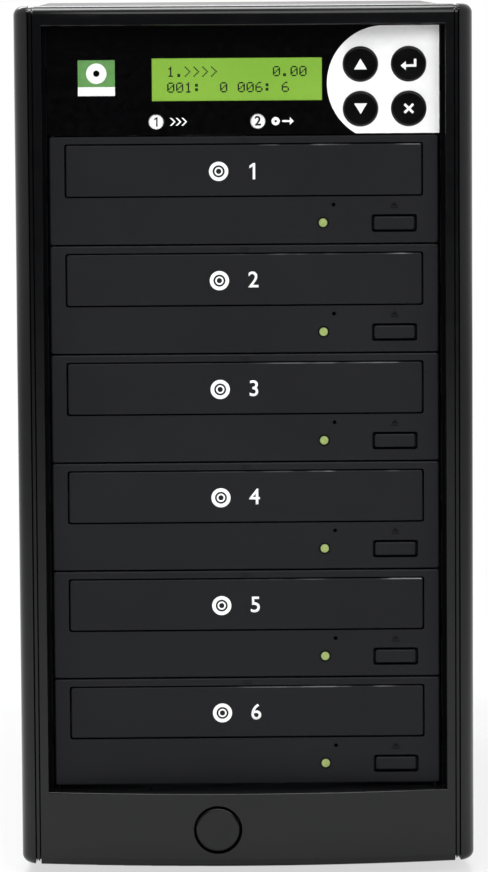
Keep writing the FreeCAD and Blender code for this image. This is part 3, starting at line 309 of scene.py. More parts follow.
lcdLook = {"colour": (0.20, 0.39, 0.042), "lamp": 30 * mm, "dim": (0.155, 0.335, 0.034),
           "bright": (0.265, 0.45, 0.06), "lampShare": 0.45, "dot": 0.56 * mm, "dotGap": 0.04 * mm,
           "dots": ((0.195, 0.38, 0.040), (0.205, 0.395, 0.043)), "gap": (0.22, 0.42, 0.05),
           "shadeShare": 0.5, "glow": 0.2}


def lcdPanel():
    # backlit cell: brighter where the lamps sit, with the faint grid of unlit dots
    material, tree, shader, coords = newFinish("lcd panel", lcdLook["colour"], roughness=0.22, specular=0.4)
    glow = addNoise(tree, coords, lcdLook["lamp"], 1)
    grid = addNode(tree, "ShaderNodeTexBrick", {
        "Vector": flatten(tree, coords, "Z"), "Scale": 1.0, "Color1": (*lcdLook["dots"][0], 1),
        "Color2": (*lcdLook["dots"][1], 1), "Mortar": (*lcdLook["gap"], 1), "Mortar Size": lcdLook["dotGap"],
        "Brick Width": lcdLook["dot"], "Row Height": lcdLook["dot"],
    }, offset=0.0)
    shade = blendColours(tree, spread(tree, glow, 0, lcdLook["lampShare"]), lcdLook["dim"], lcdLook["bright"])
    mixed = blendColours(tree, lcdLook["shadeShare"], grid.outputs["Color"], shade)
    feed(shader, "Base Color", mixed)
    feed(shader, "Emission Color", mixed)
    shader.inputs["Emission Strength"].default_value = lcdLook["glow"]
    return material


dotLook = {"patch": 1.5 * mm, "dark": (0.005, 0.010, 0.003), "light": (0.012, 0.022, 0.006)}


def lcdDots():
    material, tree, shader, coords = newFinish("lcd dots", dotLook["light"], roughness=0.3, specular=0.3)
    uneven = addNoise(tree, coords, dotLook["patch"], 2)
    mottle(tree, shader, uneven, dotLook["dark"], dotLook["light"])
    return material


lensLook = {"radius": 1.7 * mm, "rim": 0.82, "colour": (0.27, 0.36, 0.10), "dark": (0.19, 0.26, 0.07),
            "light": (0.28, 0.34, 0.11), "rimShade": (0.018, 0.026, 0.008), "cloud": 1.2 * mm,
            "depth": 0.02 * mm, "glow": 0.25}


def lensRow():  # the lenses' middle line, the lowest one's height and their pitch
    low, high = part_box("drive_leds")
    flange = (high.x - low.x) / 2
    return (low.x + high.x) / 2, low.z + flange, (high.z - low.z - 2 * flange) / (len(driveNumbers) - 1)


def ledLens():
    # frosted green lens, darker at its rim as painted shade, with the glow of a lit diode behind it
    material, tree, shader, coords = newFinish("led lens", lensLook["colour"], roughness=0.35)
    cloud = addNoise(tree, coords, lensLook["cloud"], 2)
    clear = blendColours(tree, spread(tree, cloud, 0, 1), lensLook["dark"], lensLook["light"])
    middle, lowest, pitch = lensRow()
    place = addNode(tree, "ShaderNodeSeparateXYZ", {"Vector": coords})
    across = combine(tree, "SUBTRACT", place.outputs["X"], middle)
    rise = combine(tree, "SUBTRACT", place.outputs["Z"], lowest)
    lens = combine(tree, "ROUND", combine(tree, "DIVIDE", rise, pitch), 0.0)
    nearest = combine(tree, "MULTIPLY", lens, pitch)
    reach = reachFrom(tree, across, combine(tree, "SUBTRACT", rise, nearest))
    rim = mapRange(tree, reach, lensLook["rim"] * lensLook["radius"], lensLook["radius"])
    # painted shade: the lens darkens towards its rim
    shade = blendColours(tree, rim, clear, lensLook["rimShade"])
    feed(shader, "Base Color", shade)
    feed(shader, "Emission Color", shade)
    shader.inputs["Emission Strength"].default_value = lensLook["glow"]
    addBump(tree, shader, cloud, lensLook["depth"])
    return material


coatLook = {"colour": (0.0105, 0.0105, 0.0112), "dark": (0.0092, 0.0092, 0.0098),
            "light": (0.0122, 0.0122, 0.0130), "speckColour": (0.03, 0.03, 0.031), "peel": 1.3 * mm,
            "cloud": 60 * mm, "speck": 1.1 * mm, "speckReach": (0.02, 0.10), "speckShare": 0.35,
            "roughness": (0.36, 0.50), "depth": 0.05 * mm}
coverLook = {**coatLook, "name": "cover coat", "specular": 0.38}
chassisLook = {**coatLook, "name": "chassis coat", "specular": 0.10}


def powderCoat(look):
    # baked powder: orange peel over a slow wave, a few lighter specks
    material, tree, shader, coords = newFinish(look["name"], look["colour"], roughness=0.42,
                                               specular=look["specular"])
    peel = addNoise(tree, coords, look["peel"], 2)
    cloud = addNoise(tree, coords, look["cloud"], 3)
    specks = addCells(tree, coords, look["speck"], "Distance")
    dust = mapRange(tree, specks, *look["speckReach"], look["speckShare"], 0.0)
    base = blendColours(tree, spread(tree, cloud, 0, 1), look["dark"], look["light"])
    feed(shader, "Base Color", blendColours(tree, dust, base, look["speckColour"]))
    feed(shader, "Roughness", spread(tree, peel, *look["roughness"]))
    addBump(tree, shader, peel, look["depth"])
    return material


zincLook = {"colour": (0.56, 0.57, 0.58), "dark": (0.48, 0.49, 0.505), "light": (0.62, 0.63, 0.635),
            "spangle": 7 * mm, "line": 0.4 * mm, "stretch": (1, 0.03, 1), "roughness": 0.24,
            "lineRoughness": 0.08, "spangleRoughness": 0.14, "depth": 0.004 * mm}


def zincSteel():
    # galvanised sheet: crystal spangle with rolling lines across it
    material, tree, shader, coords = newFinish("zinc steel", zincLook["colour"], roughness=0.34,
                                               metallic=1.0)
    cells = addCells(tree, coords, zincLook["spangle"], "Color")
    tone = addNode(tree, "ShaderNodeSeparateColor", {"Color": cells}).outputs["Red"]
    stretch = addNode(tree, "ShaderNodeMapping", {"Vector": coords, "Scale": zincLook["stretch"]})
    lines = addNoise(tree, stretch.outputs["Vector"], zincLook["line"], 3)
    feed(shader, "Base Color", blendColours(tree, tone, zincLook["dark"], zincLook["light"]))
    rough = combine(tree, "ADD", spread(tree, lines, 0.0, zincLook["lineRoughness"]),
                    combine(tree, "MULTIPLY", tone, zincLook["spangleRoughness"]))
    feed(shader, "Roughness", combine(tree, "ADD", rough, zincLook["roughness"]))
    addBump(tree, shader, lines, zincLook["depth"])
    return material


nickelLook = {"colour": (0.60, 0.59, 0.57), "dark": (0.50, 0.49, 0.47), "light": (0.66, 0.65, 0.63),
              "patch": 1.4 * mm, "roughness": (0.22, 0.38), "depth": 0.01 * mm}


def screwSteel():
    material, tree, shader, coords = newFinish("screw nickel", nickelLook["colour"], roughness=0.28,
                                               metallic=1.0)
    wearAndHighlight = addNoise(tree, coords, nickelLook["patch"], 4)
    mottle(tree, shader, wearAndHighlight, nickelLook["dark"], nickelLook["light"])
    feed(shader, "Roughness", spread(tree, wearAndHighlight, *nickelLook["roughness"]))
    addBump(tree, shader, wearAndHighlight, nickelLook["depth"])
    return material


boardLook = {"mask": (0.01, 0.10, 0.035), "runs": ((0.008, 0.085, 0.03), (0.012, 0.115, 0.04)),
             "copper": (0.03, 0.20, 0.07), "gap": 0.25 * mm, "length": 9 * mm, "row": 2.2 * mm, "pad": 5 * mm,
             "padReach": 0.10, "padColour": (0.45, 0.42, 0.36), "plastic": (0.012, 0.012, 0.013),
             "patch": 4 * mm, "roughness": (0.28, 0.42)}


def circuitBoard(look):
    # green mask over copper runs; what stands proud of the board is black plastic
    material, tree, shader, coords = newFinish(look["name"], look["mask"], roughness=0.35)
    place = addNode(tree, "ShaderNodeSeparateXYZ", {"Vector": coords})
    flat = flatten(tree, coords, look["across"])
    runs = addNode(tree, "ShaderNodeTexBrick", {
        "Vector": flat, "Scale": 1.0, "Color1": (*look["runs"][0], 1), "Color2": (*look["runs"][1], 1),
        "Mortar": (*look["copper"], 1), "Mortar Size": look["gap"], "Brick Width": look["length"],
        "Row Height": look["row"],
    })
    pad = combine(tree, "LESS_THAN", addCells(tree, flat, look["pad"], "Distance"), look["padReach"])
    shade = blendColours(tree, pad, runs.outputs["Color"], look["padColour"])
    raised = combine(tree, look["test"], place.outputs[look["up"]], look["face"])
    feed(shader, "Base Color", blendColours(tree, raised, shade, look["plastic"]))
    patches = addNoise(tree, coords, look["patch"])
    feed(shader, "Roughness", spread(tree, patches, *look["roughness"]))
    return material


rubberLook = {"colour": (0.013, 0.013, 0.013), "dark": (0.010, 0.010, 0.010), "light": (0.022, 0.022, 0.021),
              "grain": 0.7 * mm, "chalk": 5 * mm, "roughness": (0.78, 0.92), "depth": 0.06 * mm}


def rubber():
    material, tree, shader, coords = newFinish("foot rubber", rubberLook["colour"], roughness=0.85,
                                               specular=0.3)
    grain = addNoise(tree, coords, rubberLook["grain"], 4)
    chalk = addNoise(tree, coords, rubberLook["chalk"], 3)
    mottle(tree, shader, chalk, rubberLook["dark"], rubberLook["light"])
    feed(shader, "Roughness", spread(tree, grain, *rubberLook["roughness"]))
    addBump(tree, shader, grain, rubberLook["depth"])
    return material


bezelSatin = bezelMoulding()
capSatin = mouldedPlastic(capLook)
driveTexture = mouldedPlastic(driveLook)
doorTexture = wornTexture("tray_door")
ejectTexture = wornTexture("eject_button")
trayPlastic = mouldedPlastic(trayLook)
innerPlastic = mouldedPlastic(innerLook)
keyBlack = mouldedPlastic(keyBlackLook)
keyWhite = mouldedPlastic(keyWhiteLook)
shadeFelt = sealFelt()
filmBlack = overlayFilm()
whiteInk = inkFinish(whiteInkLook)
greenInk = inkFinish(greenInkLook)
blackInk = inkFinish(blackInkLook)
markInk = inkFinish(markInkLook)
lcdGreen = lcdPanel()
lcdDark = lcdDots()
ledGreen = ledLens()
inletPlastic = inletMoulding()
coverCoat = powderCoat(coverLook)
chassisCoat = powderCoat(chassisLook)
zinc = zincSteel()
nickel = screwSteel()
footRubber = rubber()
boardRise = 1.65 * mm  # just over a board's thickness: what stands higher is on it
mainBoard = circuitBoard({**boardLook, "name": "main board", "across": "Y", "up": "Z", "test": "GREATER_THAN",
                          "face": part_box("controller_board")[0].z + boardRise})
keyBoard = circuitBoard({**boardLook, "name": "key board", "across": "Z", "up": "Y", "test": "LESS_THAN",
                         "face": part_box("panel_board")[1].y - boardRise})
print("finishes made:", len(bpy.data.materials))

finishOf = {
    "front_bezel": bezelSatin, "power_button": capSatin, "power_switch": innerPlastic,
    "panel_overlay": filmBlack, "panel_fascia": driveTexture, "panel_board": keyBoard,
    "lcd_module": innerPlastic, "lcd_glass": lcdGreen, "base_chassis": chassisCoat, "top_cover": coverCoat,
    "drive_cage": zinc, "feet": footRubber, "controller_board": mainBoard, "power_supply": zinc,
    "mains_inlet": inletPlastic, "rocker_switch": keyBlack, "fan_frames": innerPlastic,
    "case_fan_rotor": innerPlastic, "supply_fan_rotor": innerPlastic, "screws": nickel,
    "drive_leds": ledGreen, "loader_frames": innerPlastic, "disc_spindles": innerPlastic,
    "optical_pickups": zinc, "key_up": keyBlack, "key_enter": keyBlack, "key_down": keyBlack,
    "key_back": keyBlack, "function_key_1": keyWhite, "function_key_2": keyWhite,
}
driveFinish = {"face": driveTexture, "housing": zinc, "tray": trayPlastic, "tray_door": doorTexture,
               "eject_button": ejectTexture}
for number in driveNumbers:
    for part, finish in driveFinish.items():
        finishOf[f"drive_{number}_{part}"] = finish
for name, finish in finishOf.items():
    slots = nodes[name].data.materials
    slots.clear()
    slots.append(finish)
print("finishes given to", len(finishOf), "nodes")


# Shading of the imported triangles: rounds run as one surface, flats stay flat, corners stay sharp
skin = {"merge": 0.005 * mm, "cornerAngle": 32.0}


def roundsTree():
    tree = bpy.data.node_groups.new("rounds", "GeometryNodeTree")
    tree.is_modifier = True
    for way in ("INPUT", "OUTPUT"):
        tree.interface.new_socket("Geometry", in_out=way, socket_type="NodeSocketGeometry")
    start = addNode(tree, "NodeGroupInput")
    allSmooth = addNode(tree, "GeometryNodeSetShadeSmooth", {
        "Geometry": start.outputs[0], "Shade Smooth": True,
    })
    angle = addNode(tree, "GeometryNodeInputMeshEdgeAngle").outputs["Unsigned Angle"]
    corner = combine(tree, "GREATER_THAN", angle, math.radians(skin["cornerAngle"]))
    sharp = addNode(tree, "GeometryNodeSetShadeSmooth", {
        "Geometry": allSmooth.outputs[0], "Selection": corner, "Shade Smooth": False,
    }, domain="EDGE")
    addNode(tree, "NodeGroupOutput", {"Geometry": sharp.outputs[0]})
    return tree


def smoothSkin(name, tree):
    modifiers = nodes[name].modifiers
    modifiers.new("merge", "WELD").merge_threshold = skin["merge"]
    modifiers.new("rounds", "NODES").node_group = tree
    flats = modifiers.new("flats", "WEIGHTED_NORMAL")
    flats.keep_sharp = True


rounds = roundsTree()
smoothNodes = ["front_bezel", "power_button", "top_cover", "mains_inlet", "rocker_switch", "feet"]
smoothNodes += ["key_up", "key_enter", "key_down", "key_back", "function_key_1", "function_key_2"]
for number in driveNumbers:
    smoothNodes += [f"drive_{number}_{part}" for part in ("face", "tray", "tray_door", "eject_button")]
for name in smoothNodes:
    smoothSkin(name, rounds)
print("skin smoothed on", len(smoothNodes), "nodes")


# Flat prints, drawn in the XZ plane and laid on a front face
inkDepth = 0.03 * mm
samePlace = 1e-6  # points closer than this, in metres, are one


def standAt(x, z):  # stands a flat shape up, facing the front
    return Matrix.Translation((x, 0, z)) @ Matrix.Rotation(math.pi / 2, 4, "X")


def addRing(bm, x, z, radius, segments=64):
    return bmesh.ops.create_circle(bm, segments=segments, radius=radius, matrix=standAt(x, z))["verts"]


def addOutline(bm, corners):
    verts = [bm.verts.new((x, 0, z)) for x, z in corners]
    for start, end in zip(verts, verts[1:] + verts[:1]):
        bm.edges.new((start, end))
    return verts


def addRectangle(bm, left, right, low, high):
    return addOutline(bm, [(left, low), (right, low), (right, high), (left, high)])


def thicken(bm, front, depth=inkDepth):
    grown = bmesh.ops.extrude_face_region(bm, geom=bm.faces[:])["geom"]
    lifted = [item for item in grown if isinstance(item, bmesh.types.BMVert)]
    bmesh.ops.translate(bm, verts=lifted, vec=(0, -depth, 0))
    bmesh.ops.translate(bm, verts=bm.verts[:], vec=(0, front, 0))
    bmesh.ops.recalc_face_normals(bm, faces=bm.faces[:])


def fillOutlines(bm):  # inner outlines stay open
    bmesh.ops.triangle_fill(bm, use_beauty=True, use_dissolve=False, edges=bm.edges[:], normal=(0, -1, 0))


def newObject(name, bm, finish):
    mesh = bpy.data.meshes.new(name)
    bm.to_mesh(mesh)
    bm.free()
    mesh.materials.append(finish)
    item = bpy.data.objects.new(name, mesh)
    bpy.context.scene.collection.objects.link(item)
    return item


def placePiece(name, bm, finish, body):
    piece = newObject(name, bm, finish)
    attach(piece, body)
    return piece


def printOutlines(name, draw, front, finish, body):
    bm = bmesh.new()
    draw(bm)
    fillOutlines(bm)
    thicken(bm, front)
    return placePiece(name, bm, finish, body)


digitLook = {"capHeight": 0.72, "curveSteps": 6}  # the cap height is a share of the font's size
flaggedOne = ((0.0, -0.5), (0.155, -0.5), (0.155, 0.5), (0.03, 0.5), (-0.2, 0.33), (-0.2, 0.17), (0.0, 0.30))


def addDigits(bm, text, x, z, height, bold):
    if text == "1":  # the font's own 1 is a bare bar
        verts = addOutline(bm, [(x + across * height, z + up * height) for across, up in flaggedOne])
        rim = [edge for edge in bm.edges if edge.verts[0] in verts]
        bmesh.ops.triangle_fill(bm, use_beauty=True, use_dissolve=False, edges=rim, normal=(0, -1, 0))
        return
    # the letters are made a mesh flat on the ground, then stood up facing the front
    curve = bpy.data.curves.new("digits", "FONT")
    curve.body = text
    curve.align_x = "CENTER"
    curve.align_y = "CENTER"
    curve.size = height / digitLook["capHeight"]
    curve.offset = bold
    curve.resolution_u = digitLook["curveSteps"]
    lettering = bpy.data.objects.new("digits", curve)
    bpy.context.scene.collection.objects.link(lettering)
    bpy.context.view_layer.update()
    flat = bpy.data.meshes.new_from_object(lettering)
    flat.transform(standAt(x, z))
    bm.from_mesh(flat)
    bpy.data.objects.remove(lettering)
    bpy.data.curves.remove(curve)
    bpy.data.meshes.remove(flat)
    bmesh.ops.remove_doubles(bm, verts=bm.verts[:], dist=samePlace)


def centreOf(node):
    low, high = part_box(node)
    return (low + high) / 2


# Rounds of the bezel's bowed front, spun about the axis of its bow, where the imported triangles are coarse
bow = {"radius": 397.0 * mm, "proud": 0.002 * mm, "depth": 0.2 * mm, "steps": 160, "rows": 40}
sillEdge = {"top": 33.6 * mm, "round": 0.5 * mm, "reach": 75.9 * mm, "leans": (5.2, 90)}
topEdge = {"top": 334.8 * mm, "round": 3.4 * mm, "reach": 79.7 * mm, "leans": (2, 88)}


def drawRound(name, look):
    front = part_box("front_bezel")[0].y
    axis = (0, front + bow["radius"], 0)
    turn = math.asin(look["reach"] / bow["radius"])
    coreY = front + look["round"]
    coreZ = look["top"] - look["round"]
    outer = look["round"] + bow["proud"]
    first, last = (math.radians(lean) for lean in look["leans"])
    leans = [first + (last - first) * row / bow["rows"] for row in range(bow["rows"] + 1)]
    section = [(outer, lean) for lean in leans] + [(outer - bow["depth"], lean) for lean in reversed(leans)]
    bm = bmesh.new()
    ring = [bm.verts.new((0, coreY - radius * math.cos(lean), coreZ + radius * math.sin(lean)))
            for radius, lean in section]
    for start, end in zip(ring, ring[1:] + ring[:1]):
        bm.edges.new((start, end))
    bmesh.ops.rotate(bm, verts=ring, cent=axis, matrix=Matrix.Rotation(-turn, 3, "Z"))
    bmesh.ops.spin(bm, geom=bm.verts[:] + bm.edges[:], cent=axis, axis=(0, 0, 1), angle=2 * turn,
                   steps=bow["steps"])
    bmesh.ops.holes_fill(bm, edges=[edge for edge in bm.edges if edge.is_boundary])
    bmesh.ops.recalc_face_normals(bm, faces=bm.faces[:])
    for face in bm.faces:
        face.smooth = True
    piece = placePiece(name, bm, bezelSatin, "case")
    piece.data.set_sharp_from_angle(angle=math.radians(skin["cornerAngle"]))


drawRound("sill_edge", sillEdge)
drawRound("top_edge", topEdge)
print("front edges rounded")

# Black felt strips on the bezel's ribs, in the gap beside the drives: painted shade, a dark sheet where the
# gap's shade falls
bayShadeStrip = {"inner": 75.15 * mm, "outer": 76.7 * mm, "rib": -169.45 * mm, "thick": 0.4 * mm, "low": 34.2 * mm,
        "high": 326.8 * mm, "edge": 0.12 * mm}


def drawSeal(name, side):
    size = (bayShadeStrip["outer"] - bayShadeStrip["inner"], bayShadeStrip["thick"], bayShadeStrip["high"] - bayShadeStrip["low"])
    middle = (side * (bayShadeStrip["outer"] + bayShadeStrip["inner"]) / 2, bayShadeStrip["rib"] - bayShadeStrip["thick"] / 2,
              (bayShadeStrip["high"] + bayShadeStrip["low"]) / 2)
    bm = bmesh.new()
    bmesh.ops.create_cube(bm, size=1)
    bmesh.ops.scale(bm, verts=bm.verts[:], vec=size)
    bmesh.ops.translate(bm, verts=bm.verts[:], vec=middle)
    front = [edge for edge in bm.edges if all(vert.co.y < middle[1] for vert in edge.verts)]
    bmesh.ops.bevel(bm, geom=front, offset=bayShadeStrip["edge"], affect="EDGES", segments=3, profile=0.5, material=-1)
    placePiece(name, bm, shadeFelt, "case")


drawSeal("bay_shade_strip_left", -1)
drawSeal("bay_shade_strip_right", 1)
print("bay shade strips laid")

# Black felt ring on the power key's flange, in the gap round its cap: painted shade, a dark ring where the
# gap's shade falls
powerShadeRing = {"gap": 0.8 * mm, "flange": 1.4 * mm, "play": 0.06 * mm, "thick": 0.4 * mm, "seat": 5.0 * mm,
          "segments": 96}


def drawGasket():
    low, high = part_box("power_button")
    middle = (low + high) / 2
    hole = (high.x - low.x) / 2 - powerShadeRing["flange"]
    bm = bmesh.new()
    addRing(bm, middle.x, middle.z, hole - powerShadeRing["play"], powerShadeRing["segments"])
    addRing(bm, middle.x, middle.z, hole - powerShadeRing["gap"] + powerShadeRing["play"], powerShadeRing["segments"])
    fillOutlines(bm)
    thicken(bm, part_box("front_bezel")[0].y + powerShadeRing["seat"], powerShadeRing["thick"])
    placePiece("power_shade_ring", bm, shadeFelt, "power_cap")


drawGasket()
print("power shade ring laid")

panelLow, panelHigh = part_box("panel_overlay")
panelFront = panelLow.y
keyNames = ("key_up", "key_enter", "key_down", "key_back")
keyCentres = {name: centreOf(name) for name in keyNames}
clusterX = sum(spot.x for spot in keyCentres.values()) / len(keyNames)
clusterZ = sum(spot.z for spot in keyCentres.values()) / len(keyNames)

# White field round the four keys: a disc that runs on to the panel's right edge
keyField = {"radius": 22.0 * mm, "rise": 1.2 * mm, "keyHole": 6.8 * mm, "edge": 0.15 * mm, "segments": 160}


def drawKeyField(bm):
    middleZ = clusterZ + keyField["rise"]
    low = panelLow.z + keyField["edge"]
    high = min(panelHigh.z - keyField["edge"], middleZ + keyField["radius"])
    right = panelHigh.x - keyField["edge"]
    bm.faces.new(addRing(bm, clusterX, middleZ, keyField["radius"], keyField["segments"]))
    cuts = (((clusterX, 0, 0), (1, 0, 0)), ((0, 0, low), (0, 0, -1)), ((0, 0, high), (0, 0, 1)))
    for place, normal in cuts:
        bmesh.ops.bisect_plane(bm, geom=bm.verts[:] + bm.edges[:] + bm.faces[:], plane_co=place,
                               plane_no=normal, clear_outer=True)
    seam = [edge for edge in bm.edges if all(abs(vert.co.x - clusterX) < samePlace for vert in edge.verts)]
    grown = bmesh.ops.extrude_edge_only(bm, edges=seam)["geom"]
    ends = [item for item in grown if isinstance(item, bmesh.types.BMVert)]
    bmesh.ops.translate(bm, verts=ends, vec=(right - clusterX, 0, 0))
    bmesh.ops.dissolve_faces(bm, faces=bm.faces[:])
    bmesh.ops.delete(bm, geom=bm.faces[:], context="FACES_ONLY")
    for spot in keyCentres.values():
        addRing(bm, spot.x, spot.z, keyField["keyHole"])


printOutlines("key_field_print", drawKeyField, panelFront, whiteInk, "case")

# Plain green square with a disc in it
badge = {"x": -55.95 * mm, "z": 307.4 * mm, "width": 14.1 * mm, "height": 13.6 * mm, "strip": 3.4 * mm,
         "disc": 3.9 * mm, "hub": 1.2 * mm, "hubSegments": 32, "lift": 1.7 * mm}


def badgeEdges():
    halfX = badge["width"] / 2
    halfZ = badge["height"] / 2
    return badge["x"] - halfX, badge["x"] + halfX, badge["z"] - halfZ, badge["z"] + halfZ


def drawBadgeField(bm):
    left, right, low, high = badgeEdges()
    addRectangle(bm, left, right, low + badge["strip"], high)
    addRing(bm, badge["x"], badge["z"] + badge["lift"], badge["disc"])


def drawBadgeDisc(bm):
    left, right, low = badgeEdges()[:3]
    addRectangle(bm, left, right, low, low + badge["strip"])
    addRing(bm, badge["x"], badge["z"] + badge["lift"], badge["disc"])
    addRing(bm, badge["x"], badge["z"] + badge["lift"], badge["hub"], badge["hubSegments"])


printOutlines("badge_field_print", drawBadgeField, panelFront, greenInk, "case")
printOutlines("badge_disc_print", drawBadgeDisc, panelFront, whiteInk, "case")

# Signs beside the two small keys: three chevrons, and a disc with an arrow
sign = {"gap": 1.6 * mm, "height": 3.0 * mm, "stroke": 0.75 * mm, "chevrons": 3, "step": 2.2 * mm,
        "disc": 1.6 * mm, "discSegments": 40, "hub": 0.45 * mm, "hubSegments": 24, "arrowGap": 0.9 * mm,
        "arrow": 4.4 * mm}
smallKey1 = centreOf("function_key_1")
smallKey2 = centreOf("function_key_2")
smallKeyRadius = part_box("function_key_1")[1].x - smallKey1.x


def addChevron(bm, x, z, height, stroke):
    half = height / 2
    addOutline(bm, [(x, z - half), (x + stroke, z - half), (x + stroke + half, z), (x + stroke, z + half),
                    (x, z + half), (x + half, z)])


def drawSpeedSign(bm):
    start = smallKey1.x + smallKeyRadius + sign["gap"]
    for index in range(sign["chevrons"]):
        addChevron(bm, start + index * sign["step"], smallKey1.z, sign["height"], sign["stroke"])


def drawDiscSign(bm):
    start = smallKey2.x + smallKeyRadius + sign["gap"]
    middle = start + sign["disc"]
    addRing(bm, middle, smallKey2.z, sign["disc"], sign["discSegments"])
    addRing(bm, middle, smallKey2.z, sign["hub"], sign["hubSegments"])
    tail = middle + sign["disc"] + sign["arrowGap"]
    half = sign["stroke"] / 2
    head = sign["height"] / 2
    tip = tail + sign["arrow"]
    neck = tip - head
    addOutline(bm, [(tail, smallKey2.z - half), (neck, smallKey2.z - half), (neck, smallKey2.z - head),
                    (tip, smallKey2.z), (neck, smallKey2.z + head), (neck, smallKey2.z + half),
                    (tail, smallKey2.z + half)])


printOutlines("speed_sign_print", drawSpeedSign, panelFront, whiteInk, "case")
printOutlines("disc_sign_print", drawDiscSign, panelFront, whiteInk, "case")

# Signs on the keys
keySign = {"triangleWidth": 4.9 * mm, "triangleHeight": 4.1 * mm, "stroke": 0.95 * mm, "cross": 2.0 * mm,
           "digit": 3.6 * mm, "bold": 0.11 * mm}
returnSign = {"right": 2.9 * mm, "top": 1.9 * mm, "level": -0.7 * mm, "neck": -1.1 * mm, "head": 1.7 * mm,
              "tip": -3.1 * mm}
keyFront = {name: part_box(name)[0].y for name in keyNames + ("function_key_1", "function_key_2")}


def drawTriangle(name, up):
    def draw(bm):
        spot = keyCentres[name]
        half = keySign["triangleWidth"] / 2
        rise = up * keySign["triangleHeight"] / 2
        foot = spot.z - rise
        addOutline(bm, [(spot.x - half, foot), (spot.x + half, foot), (spot.x, spot.z + rise)])
    return draw


def drawReturn(bm):
    # an arrow that comes down and turns left
    spot = keyCentres["key_enter"]
    half = keySign["stroke"] / 2
    right = spot.x + returnSign["right"]
    top = spot.z + returnSign["top"]
    level = spot.z + returnSign["level"]
    neck = spot.x + returnSign["neck"]
    head = returnSign["head"]
    tip = spot.x + returnSign["tip"]
    left = right - 2 * half
    addOutline(bm, [(right, top), (left, top), (left, level + half), (neck, level + half),
                    (neck, level + head), (tip, level), (neck, level - head), (neck, level - half),
                    (right, level - half)])


def drawCross(bm):
    spot = keyCentres["key_back"]
    arm = keySign["cross"]
    half = keySign["stroke"] / 2 * math.sqrt(2)
    addOutline(bm, [(spot.x + x, spot.z + z) for x, z in (
        (0, half), (arm - half, arm), (arm, arm - half), (half, 0), (arm, half - arm), (arm - half, -arm),
        (0, -half), (half - arm, -arm), (-arm, half - arm), (-half, 0), (-arm, arm - half),
        (half - arm, arm))])


keyDrawings = {"key_up": drawTriangle("key_up", 1), "key_down": drawTriangle("key_down", -1),
               "key_enter": drawReturn, "key_back": drawCross}
for name, draw in keyDrawings.items():
    printOutlines(name + "_sign", draw, keyFront[name], whiteInk, name + "_cap")
for digit in "12":
    name = "function_key_" + digit
    bm = bmesh.new()
    addDigits(bm, digit, centreOf(name).x, centreOf(name).z, keySign["digit"], keySign["bold"])
    thicken(bm, keyFront[name])
    placePiece(name + "_sign", bm, blackInk, name + "_cap")
print("panel prints laid")

# Display: two rows of sixteen cells, five by seven dots each
display = {"pitch": 0.56 * mm, "dot": 0.55 * mm, "cell": 3.36 * mm, "cells": 16, "row": 6.0 * mm, "dotsUp": 3,
           "rows": ("1.>>>>      0.00", "001:  0 006: 6")}
dotRows = {
    "0": ("01110", "10001", "10011", "10101", "11001", "10001", "01110"),
    "1": ("00100", "01100", "00100", "00100", "00100", "00100", "01110"),
    "6": ("00110", "01000", "10000", "11110", "10001", "10001", "01110"),
    ">": ("10000", "01000", "00100", "00010", "00100", "01000", "10000"),
    ".": ("00000", "00000", "00000", "00000", "00000", "01100", "01100"),
    ":": ("00000", "01100", "01100", "00000", "01100", "01100", "00000"),
}


def drawDisplay():
    low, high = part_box("lcd_glass")
    left = (low.x + high.x) / 2 - display["cells"] / 2 * display["cell"] + display["pitch"]
    top = (low.z + high.z) / 2 + display["row"] / 2 + display["dotsUp"] * display["pitch"]
    bm = bmesh.new()
    for line, text in enumerate(display["rows"]):
        for column, letter in enumerate(text):
            for down, dots in enumerate(dotRows.get(letter, ())):
                for along, lit in enumerate(dots):
                    if lit == "1":
                        x = left + column * display["cell"] + along * display["pitch"]
                        z = top - line * display["row"] - down * display["pitch"]
                        bmesh.ops.create_grid(bm, x_segments=1, y_segments=1, size=display["dot"] / 2,
                                              matrix=standAt(x, z))
    thicken(bm, low.y)
    placePiece("display_dots", bm, lcdDark, "case")


drawDisplay()
print("display drawn")

# Prints on the drives: a disc with its number on each door, and a moulded sign over each eject button
doorPrint = {"rise": 9.4 * mm, "discX": -9.6 * mm, "rings": (3.7 * mm, 2.3 * mm, 1.6 * mm, 1.0 * mm),
             "segments": 56, "digitX": 3.4 * mm, "digit": 6.2 * mm, "bold": 0.09 * mm}
ejectSign = {"width": 3.0 * mm, "height": 1.5 * mm, "bar": 0.45 * mm, "gap": 0.45 * mm, "above": 6.6 * mm}


def drawDoorPrint(number):
    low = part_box(f"drive_{number}_tray_door")[0]
    z = low.z + doorPrint["rise"]
    bm = bmesh.new()
    for radius in doorPrint["rings"]:
        addRing(bm, doorPrint["discX"], z, radius, doorPrint["segments"])
    fillOutlines(bm)
    digits = bmesh.new()
    addDigits(digits, str(number), doorPrint["digitX"], z, doorPrint["digit"], doorPrint["bold"])
    flat = bpy.data.meshes.new("digit")
    digits.to_mesh(flat)
    digits.free()
    bm.from_mesh(flat)
    bpy.data.meshes.remove(flat)
    thicken(bm, low.y)
    placePiece(f"drive_{number}_door_print", bm, whiteInk, f"tray_{number}")


def drawEjectSign(number):
    low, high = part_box(f"drive_{number}_eject_button")
    x = (low.x + high.x) / 2
    z = (low.z + high.z) / 2 + ejectSign["above"]

    def draw(bm):
        half = ejectSign["width"] / 2
        foot = z - ejectSign["gap"] - ejectSign["bar"]
        addOutline(bm, [(x - half, z), (x + half, z), (x, z + ejectSign["height"])])
        addRectangle(bm, x - half, x + half, foot, foot + ejectSign["bar"])

    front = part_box(f"drive_{number}_face")[0].y
    printOutlines(f"drive_{number}_eject_sign", draw, front, markInk, "case")


